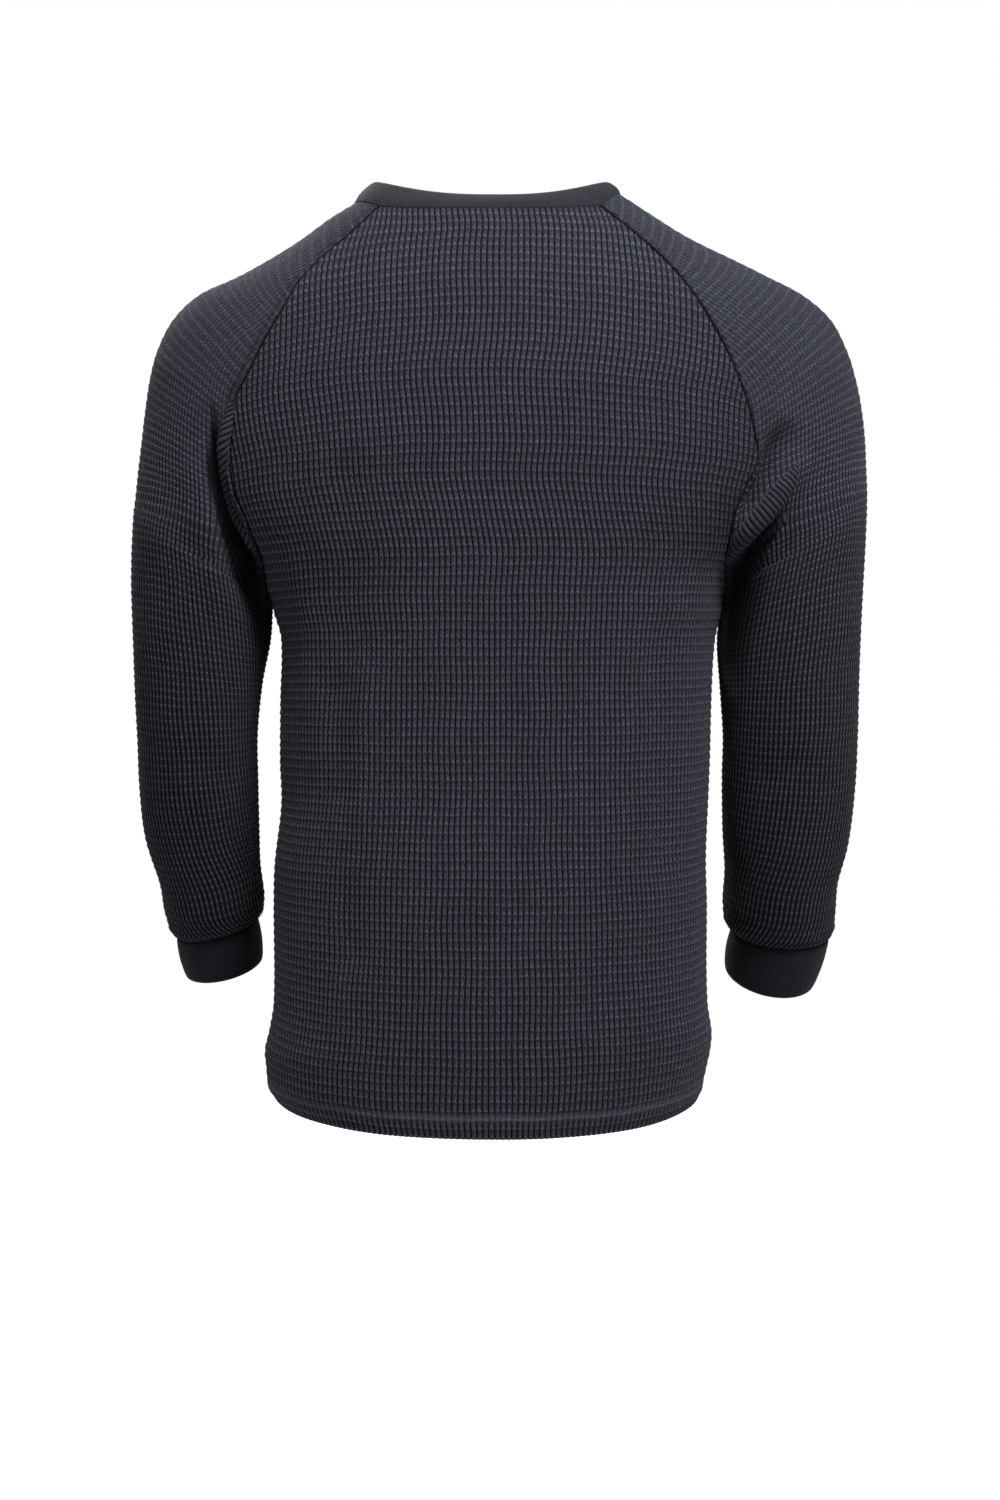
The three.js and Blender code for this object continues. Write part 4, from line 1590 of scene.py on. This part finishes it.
class Shader:
    """Builds the nodes of one material."""

    BLEND_INPUTS = (0, 6, 7)
    BLEND_OUTPUT = 2
    NOISE_ROUGHNESS = 0.6

    def __init__(self, name: str) -> None:
        """Starts an empty material of that name.

        Args:
            name: the material's name.
        """
        self.material = bpy.data.materials.new(name)
        self.material.use_nodes = True
        self.tree = self.material.node_tree
        self.tree.nodes.clear()

    def node(self, kind: str, **inputs: object) -> bpy.types.Node:
        """Adds a node.

        Args:
            kind: its type.
            inputs: values or sockets for its inputs, by name with _ for a space.

        Returns:
            The node.
        """
        made = self.tree.nodes.new(kind)
        for name, value in inputs.items():
            self.feed(made.inputs[name.replace("_", " ")], value)
        return made

    def feed(self, socket: bpy.types.NodeSocket, value: object) -> None:
        """Links a socket to an input, or sets its value.

        Args:
            socket: the input.
            value: a socket or a value.
        """
        if isinstance(value, bpy.types.NodeSocket):
            self.tree.links.new(value, socket)
        else:
            socket.default_value = value

    def coordinates(self, name: str) -> bpy.types.NodeSocket:
        """The mesh's coordinates of that name.

        Args:
            name: the map's name.

        Returns:
            Their socket.
        """
        made = self.tree.nodes.new("ShaderNodeUVMap")
        made.uv_map = name
        return made.outputs[0]

    def math(self, operation: str, *values: object) -> bpy.types.NodeSocket:
        """The result of a math operation on values or sockets.

        Args:
            operation: its name.
            values: the values or sockets.

        Returns:
            The result's socket.
        """
        made = self.tree.nodes.new("ShaderNodeMath")
        made.operation = operation
        for socket, value in zip(made.inputs, values):
            self.feed(socket, value)
        return made.outputs[0]

    def times(self, a: object, b: object) -> bpy.types.NodeSocket:
        """The product of two values or sockets."""
        return self.math("MULTIPLY", a, b)

    def plus(self, a: object, b: object) -> bpy.types.NodeSocket:
        """The sum of two values or sockets."""
        return self.math("ADD", a, b)

    def minus(self, a: object, b: object) -> bpy.types.NodeSocket:
        """One value or socket less another."""
        return self.math("SUBTRACT", a, b)

    def most(self, a: object, b: object) -> bpy.types.NodeSocket:
        """The greater of two values or sockets."""
        return self.math("MAXIMUM", a, b)

    def fraction(self, a: object) -> bpy.types.NodeSocket:
        """The part of a value past its last whole number."""
        return self.math("FRACT", a)

    def away(self, a: object, middle: float) -> bpy.types.NodeSocket:
        """How far a value is from the middle."""
        return self.math("ABSOLUTE", self.minus(a, middle))

    def ramp(self, low: object, high: object, value: object) -> bpy.types.NodeSocket:
        """A smooth step from 0 at low to 1 at high.

        Args:
            low: where the step starts.
            high: where it is full.
            value: what is read.

        Returns:
            The step's socket.
        """
        made = self.tree.nodes.new("ShaderNodeMapRange")
        made.interpolation_type = "SMOOTHSTEP"
        for name, number in (("From Min", low), ("From Max", high), ("Value", value)):
            self.feed(made.inputs[name], number)
        return made.outputs[0]

    def blend(self, factor: object, a: object, b: object) -> bpy.types.NodeSocket:
        """Colours a and b blended by a factor.

        Args:
            factor: 0 for a, 1 for b.
            a: the first colour.
            b: the second colour.

        Returns:
            The colour's socket.
        """
        made = self.tree.nodes.new("ShaderNodeMix")
        made.data_type = "RGBA"
        for place, value in zip(self.BLEND_INPUTS, (factor, a, b)):
            self.feed(made.inputs[place], value)
        return made.outputs[self.BLEND_OUTPUT]

    def noise(self, vector: object, scale: float, detail: float) -> bpy.types.NodeSocket:
        """Noise from 0 to 1.

        Args:
            vector: where it is read.
            scale: how fine it is.
            detail: how many finer layers it has.

        Returns:
            The noise's socket.
        """
        return self.node(
            "ShaderNodeTexNoise",
            Vector=vector,
            Scale=scale,
            Detail=detail,
            Roughness=self.NOISE_ROUGHNESS,
        ).outputs[0]

    def parts(self, vector: object) -> list[bpy.types.NodeSocket]:
        """The X, Y and Z of a vector."""
        return list(self.node("ShaderNodeSeparateXYZ", Vector=vector).outputs)

    def place(self) -> bpy.types.NodeSocket:
        """The place on the object."""
        return self.node("ShaderNodeTexCoord").outputs["Object"]

    def scaled(self, vector: object, scale: object) -> bpy.types.NodeSocket:
        """A vector or colour times a value.

        Args:
            vector: the vector or colour.
            scale: the value.

        Returns:
            The result's socket.
        """
        made = self.node("ShaderNodeVectorMath", Vector=vector)
        made.operation = "SCALE"
        self.feed(made.inputs["Scale"], scale)
        return made.outputs[0]

    def finish(self, surface_socket: bpy.types.NodeSocket) -> bpy.types.Material:
        """Makes a shader the surface and returns the material.

        Args:
            surface_socket: the shader's socket.

        Returns:
            The material.
        """
        output = self.tree.nodes.new("ShaderNodeOutputMaterial")
        self.feed(output.inputs["Surface"], surface_socket)
        return self.material


@dataclass(frozen=True)
class KnitFinish:
    """Matt yarn with flecks and hairs, as both knits have it.

    A scale counts how often a pattern comes in a metre, or in a stitch for the yarn.
    """

    name: str
    fleck: float = 2.2
    slow_scale: float = 14
    slow: tuple[float, float] = (0.2, 0.9)
    hair_scale: float = 1000
    noise_detail: float = 2.0
    roughness: float = 0.95
    sheen: float = 0.03
    sheen_roughness: float = 0.45
    sheen_tint: Colour = (0.55, 0.57, 0.64, 1)
    gloss: float = 0.05
    bump: float = 0.9
    bump_height: float = 0.0006

    def hair(self, sh: Shader) -> bpy.types.NodeSocket:
        """Fine noise of the yarn's hairs."""
        return sh.noise(sh.place(), self.hair_scale, self.noise_detail)

    def flecked(self, sh: Shader, grain: bpy.types.NodeSocket) -> bpy.types.NodeSocket:
        """Brightness of the yarn from its grain, with slow changes over the cloth.

        Args:
            sh: the material's shader.
            grain: noise about 0.5.

        Returns:
            The brightness, about 1.
        """
        flecks = sh.plus(sh.times(sh.minus(grain, 0.5), 2 * self.fleck), 1.0)
        slow = sh.noise(sh.place(), self.slow_scale, self.noise_detail)
        return sh.times(flecks, sh.plus(sh.times(slow, self.slow[0]), self.slow[1]))

    def yarn_material(
        self, sh: Shader, colour: object, brightness: object, height: object
    ) -> bpy.types.Material:
        """Finishes the material.

        Args:
            sh: its shader.
            colour: the knit's colour.
            brightness: the yarn's flecks, which the colour is multiplied by.
            height: the relief's height, from 0 to 1.

        Returns:
            The material.
        """
        bump = sh.node(
            "ShaderNodeBump", Strength=self.bump, Distance=self.bump_height, Height=height
        )
        surface_node = sh.node(
            "ShaderNodeBsdfPrincipled",
            Base_Color=sh.scaled(colour, brightness),
            Roughness=self.roughness,
            Sheen_Weight=self.sheen,
            Sheen_Roughness=self.sheen_roughness,
            Sheen_Tint=self.sheen_tint,
            Specular_IOR_Level=self.gloss,
            Normal=bump.outputs[0],
        )
        return sh.finish(surface_node.outputs[0])


@dataclass(frozen=True)
class WaffleFinish(KnitFinish):
    """Charcoal waffle knit: ribs, grooves with painted shade, a bar across each row with a
    painted highlight and a painted shadow line under it, flecked yarn.

    Widths count in stitches, except the seam's, in millimetres. The values that start with
    open hold where the knit is pulled open, on the sleeves below the shoulders, and there paint
    shade: darker ribs, wider painted groove shade and a weaker bar highlight. Those that start
    with plain hold where the ribs run together.
    """

    name: str = "waffle_knit_finish"
    rib: Colour = (0.0108, 0.0113, 0.0154, 1)
    # Painted shade: a darker copy of the rib colour for the sleeves below the shoulders, where
    # the knit is pulled open.
    shaded_open_rib: Colour = (0.0094, 0.0099, 0.0134, 1)
    # Painted highlight: each row's bar is real relief, but its lighter colour stands in for light
    # on the bump's upper side; the hem line is lightened to this colour too.
    bar: Colour = (0.027, 0.0283, 0.037, 1)
    # Painted shade: the near-black groove colour stands in for the shade down in the grooves; the
    # seam lines and the sleeves' painted shade are blended to it too.
    groove: Colour = (0.0012, 0.0013, 0.0018, 1)
    rib_edge: tuple[float, float] = (0.42, 0.27)
    open_narrow: float = 0.11
    arch: float = 0.5
    bar_rise: tuple[float, float] = (0.06, 0.22)
    bar_fall: float = 0.5
    bar_fall_start: float = 0.5
    plain_fall: float = 0.28
    bar_highlight_strength: float = 0.8
    plain_highlight_strength: float = 0.1
    open_highlight_strength: float = -0.33
    # Painted shadow: a dark line along the foot of each bar, where its underside turns away from
    # the light.
    shadow_line_after: tuple[float, float] = (0.1, 0.0)
    shadow_line_before: tuple[float, float] = (0.88, 1.0)
    shadow_line_strength: float = 0.42
    seam_dark: tuple[float, float] = (1.7, 0.3)
    yarn_scale: tuple[float, float, float] = (9, 3.2, 1)
    yarn_detail: float = 3.0
    yarn_grain: float = 0.4
    hair_grain: float = 0.6
    mottle_scale: float = 650
    mottle: tuple[float, float] = (1.3, 0.35)
    rib_height: float = 0.55
    bar_height: float = 0.35
    yarn_height: float = 0.22
    hair_height: float = 0.08

    def material(self) -> bpy.types.Material:
        """Builds the material.

        Returns:
            The material, drawn in the knit coordinates of the mesh.
        """
        sh = Shader(self.name)
        knit = sh.coordinates("knit")
        across, along = sh.parts(knit)[:2]
        dress = sh.parts(sh.coordinates("dress"))
        plain = sh.most(dress[0], 0.0)
        opened = sh.most(sh.times(dress[0], -1.0), 0.0)
        off = sh.away(sh.fraction(across), 0.5)
        narrow = sh.times(opened, self.open_narrow)
        edges = [sh.minus(edge, narrow) for edge in self.rib_edge]
        rib = sh.most(sh.ramp(*edges, off), plain)
        arched = sh.fraction(sh.plus(sh.fraction(along), sh.times(off, self.arch)))
        fall = sh.minus(self.bar_fall, sh.times(plain, self.plain_fall))
        fall = sh.ramp(fall, sh.times(fall, self.bar_fall_start), arched)
        # The bar mask gives both the bump's height and where the painted highlight goes.
        bar = sh.times(sh.times(sh.ramp(*self.bar_rise, arched), fall), rib)
        # Painted shadow line under each bar, left out where the knit is plain.
        line = sh.most(sh.ramp(*self.shadow_line_after, arched), sh.ramp(*self.shadow_line_before, arched))
        line = sh.times(line, sh.minus(1.0, plain))
        yarn = sh.noise(
            sh.node("ShaderNodeMapping", Vector=knit, Scale=self.yarn_scale).outputs[0],
            1.0,
            self.yarn_detail,
        )
        hair = self.hair(sh)
        height = sh.plus(
            sh.plus(sh.times(rib, self.rib_height), sh.times(bar, self.bar_height)),
            sh.plus(sh.times(yarn, self.yarn_height), sh.times(hair, self.hair_height)),
        )
        # Painted shade in the grooves between the ribs; the ribs' darker copy where the knit is
        # pulled open is painted shade too.
        colour = sh.blend(rib, self.groove, sh.blend(opened, self.rib, self.shaded_open_rib))
        # Painted highlight on the bars: stronger where the knit is plain, weaker where it is
        # pulled open.
        strength = sh.plus(self.bar_highlight_strength, sh.times(plain, self.plain_highlight_strength))
        strength = sh.plus(strength, sh.times(opened, self.open_highlight_strength))
        colour = sh.blend(sh.times(bar, strength), colour, self.bar)
        colour = sh.blend(sh.times(line, self.shadow_line_strength), colour, self.groove)
        colour = sh.blend(sh.most(dress[1], 0.0), colour, self.bar)
        # Dark seam lines, and the sleeves' painted shade from a negative tint, take the groove
        # colour.
        seam = sh.parts(sh.coordinates("seam"))
        cut = sh.times(sh.ramp(*self.seam_dark, seam[0]), seam[1])
        colour = sh.blend(sh.most(cut, sh.times(dress[1], -1.0)), colour, self.groove)
        grain = sh.plus(sh.times(yarn, self.yarn_grain), sh.times(hair, self.hair_grain))
        mottle = sh.noise(sh.place(), self.mottle_scale, 1.0)
        mottle = sh.plus(sh.times(mottle, self.mottle[0]), self.mottle[1])
        brightness = sh.times(self.flecked(sh, grain), mottle)
        return self.yarn_material(sh, colour, brightness, height)


@dataclass(frozen=True)
class TrimFinish(KnitFinish):
    """Smooth fine knit of the neckband and cuffs: small V stitches in columns.

    Widths count in stitches.
    """

    light: Colour = (0.0088, 0.0092, 0.012, 1)
    dark: Colour = (0.0025, 0.0027, 0.0037, 1)
    slow_scale: float = 30
    bump: float = 0.6
    bump_height: float = 0.00025
    leg_at: float = 0.25
    leg: tuple[float, float] = (0.5, 0.2)
    column: tuple[float, float] = (0.5, 0.3)
    loop: tuple[float, float] = (0.0, 0.45)
    loop_depth: float = 0.5
    hair_height: float = 0.4

    def material(self) -> bpy.types.Material:
        """Builds the material.

        Returns:
            The material, drawn in the knit coordinates of the mesh.
        """
        sh = Shader(self.name)
        across, along = sh.parts(sh.coordinates("knit"))[:2]
        off = sh.away(sh.fraction(across), 0.5)
        up = sh.fraction(sh.plus(along, off))
        leg = sh.ramp(*self.leg, sh.away(off, self.leg_at))
        loop = sh.ramp(*self.loop, sh.math("MINIMUM", up, sh.minus(1.0, up)))
        stitch = sh.times(leg, sh.ramp(*self.column, off))
        loop = sh.plus(sh.times(loop, self.loop_depth), 1 - self.loop_depth)
        stitch = sh.times(stitch, loop)
        hair = self.hair(sh)
        height = sh.plus(stitch, sh.times(hair, self.hair_height))
        colour = sh.blend(stitch, self.dark, self.light)
        return self.yarn_material(sh, colour, self.flecked(sh, hair), height)


class Garment:
    """All the cut pieces of the top."""

    def panels(self) -> tuple[BodyPanel, BodyPanel]:
        """The back and front panels.

        Returns:
            The panels, not yet built.
        """
        shared = {"rests_on": ["sleeve_left_cloth", "sleeve_right_cloth"], "folds": BODY_FOLDS}
        back = BodyPanel(name="back_panel", flat=(0.53, 0.74), area=0.3, seed=1, **shared)
        front = BodyPanel(
            name="front_panel",
            flat=(0.53, 0.70),
            area=0.28,
            seed=2,
            flip=True,
            face=Face.FRONT,
            hem_middle=-703,
            **shared,
        )
        return back, front

    def sleeves(self) -> tuple[Sleeve, Sleeve]:
        """The wearer's left and right sleeves.

        Returns:
            The sleeves, not yet built.
        """
        shared = {"flat": (0.44, 0.66), "rests_on": ["neckband_cloth"]}
        left = Sleeve(
            name="sleeve_left",
            area=0.172,
            folds=LEFT_FOLDS,
            hollows=LEFT_HOLLOWS,
            rolls=LEFT_ROLLS,
            seed=3,
            side=Side.LEFT,
            welt_line=1.0,
            **shared,
        )
        right = Sleeve(
            name="sleeve_right",
            area=0.185,
            folds=RIGHT_FOLDS,
            hollows=RIGHT_HOLLOWS,
            rolls=RIGHT_ROLLS,
            seed=4,
            flip=True,
            side=Side.RIGHT,
            **shared,
        )
        return left, right

    def cuffs(self, left: Sleeve, right: Sleeve) -> tuple[Cuff, Cuff]:
        """The cuffs of both sleeves.

        Args:
            left: the wearer's left sleeve.
            right: the wearer's right sleeve.

        Returns:
            The cuffs, not yet built.
        """
        cuff_left = Cuff(
            name="cuff_left",
            flat=(0.205, 0.037),
            area=0.0074,
            rests_on=["sleeve_left_cloth"],
            sleeve=left,
            outer_end=(248.4, -66, -604.2),
            inner_end=(186.5, -592.8),
            depth=33,
            lean=20,
        )
        cuff_right = Cuff(
            name="cuff_right",
            flat=(0.225, 0.039),
            area=0.0086,
            rests_on=["sleeve_right_cloth"],
            sleeve=right,
            outer_end=(256.8, -68, -610),
            inner_end=(184.6, -600),
            depth=35,
            lean=30,
        )
        return cuff_left, cuff_right

    def build(self) -> None:
        """Builds and dresses every piece."""
        back, front = self.panels()
        left, right = self.sleeves()
        band = Neckband(
            name="neckband",
            flat=(0.56, 0.027),
            area=0.0148,
            rests_on=["sleeve_left_cloth"],
            back=back,
            front=front,
            left=left,
            right=right,
        )
        # Painted shade: the cuffs get a darker copy of the trim knit, as they hang low and take
        # less light.
        cuff_finish = TrimFinish(
            "cuff_finish", light=(0.0055, 0.0058, 0.0077, 1), dark=(0.0023, 0.0024, 0.0033, 1)
        )
        dressed = (
            ((back, front, left, right), WaffleFinish()),
            ((band,), TrimFinish("neckband_finish")),
            (self.cuffs(left, right), cuff_finish),
        )
        for pieces, finish in dressed:
            material = finish.material()
            for piece in pieces:
                piece.build().data.materials.append(material)


@dataclass(frozen=True)
class Lamp:
    """A soft square light at a place, turned to a target, in metres and watts."""

    name: str
    at: tuple[float, float, float]
    aim: tuple[float, float, float]
    size: float
    power: float

    def build(self) -> None:
        """Adds the light."""
        data = bpy.data.lights.new(self.name, "AREA")
        data.shape, data.size, data.energy = "SQUARE", self.size, self.power
        made = bpy.data.objects.new(self.name, data)
        bpy.context.collection.objects.link(made)
        made.location = self.at
        way = Vector(self.aim) - Vector(self.at)
        made.rotation_euler = way.to_track_quat("-Z", "Y").to_euler()


@dataclass
class Studio:
    """A pale floor, soft lights and the camera at the photograph's angle, in metres."""

    camera_at: tuple[float, float, float] = (-0.004, 2.2, -0.426)
    lens: float = 67.7
    sensor: float = 36.0
    floor_z: float = -0.86
    floor_half: float = 12.0
    floor_fade: tuple[float, float] = (0.9, 2.4)
    floor_roughness: float = 0.9
    floor_glow: float = 0.75
    pale: Colour = (0.25, 0.25, 0.25, 1)
    white: Colour = (1, 1, 1, 1)
    world: float = 1.0
    lamps: tuple[Lamp, ...] = (
        Lamp("key", (-0.8, 1.5, 1.3), (-0.05, 0, -0.3), 0.7, 138),
        Lamp("top", (-0.1, 0.8, 1.6), (0, 0, -0.25), 0.9, 50),
        Lamp("front_fill", (0.8, -1.6, 1.2), (0, 0, -0.35), 1.2, 90),
    )

    def floor(self) -> None:
        """Lays the floor, which turns into the pale surroundings a way off."""
        half, z = self.floor_half, self.floor_z
        mesh = bpy.data.meshes.new("floor")
        corners = [(-half, -half, z), (half, -half, z), (half, half, z), (-half, half, z)]
        mesh.from_pydata(corners, [], [(0, 1, 2, 3)])
        made = bpy.data.objects.new("floor", mesh)
        bpy.context.collection.objects.link(made)
        sh = Shader("floor_finish")
        far = sh.node("ShaderNodeVectorMath", Vector=sh.place())
        far.operation = "LENGTH"
        matte = sh.node(
            "ShaderNodeBsdfPrincipled",
            Base_Color=self.pale,
            Roughness=self.floor_roughness,
            Emission_Color=self.white,
            Emission_Strength=self.floor_glow,
        )
        glow = sh.node("ShaderNodeEmission", Color=self.white, Strength=self.world)
        fade = sh.ramp(*self.floor_fade, far.outputs["Value"])
        both = sh.node("ShaderNodeMixShader", Fac=fade)
        sh.feed(both.inputs[1], matte.outputs[0])
        sh.feed(both.inputs[2], glow.outputs[0])
        mesh.materials.append(sh.finish(both.outputs[0]))

    def build(self) -> None:
        """Builds the floor, surroundings, lights and camera."""
        self.floor()
        world = bpy.data.worlds.new("surroundings")
        bpy.context.scene.world = world
        world.use_nodes = True
        background = world.node_tree.nodes["Background"]
        background.inputs["Color"].default_value = self.white
        background.inputs["Strength"].default_value = self.world
        bpy.context.scene.view_settings.view_transform = "Standard"
        for lamp in self.lamps:
            lamp.build()
        data = bpy.data.cameras.new("camera")
        data.lens, data.sensor_width = self.lens, self.sensor
        camera = bpy.data.objects.new("camera", data)
        bpy.context.collection.objects.link(camera)
        camera.location = self.camera_at
        camera.rotation_euler = (math.pi / 2, 0, math.pi)
        bpy.context.scene.camera = camera


def main() -> None:
    """Builds the garment and the studio."""
    logging.basicConfig(level=logging.INFO, format="%(name)s: %(message)s")
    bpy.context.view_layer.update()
    Garment().build()
    Studio().build()


if __name__ == "__main__":
    main()
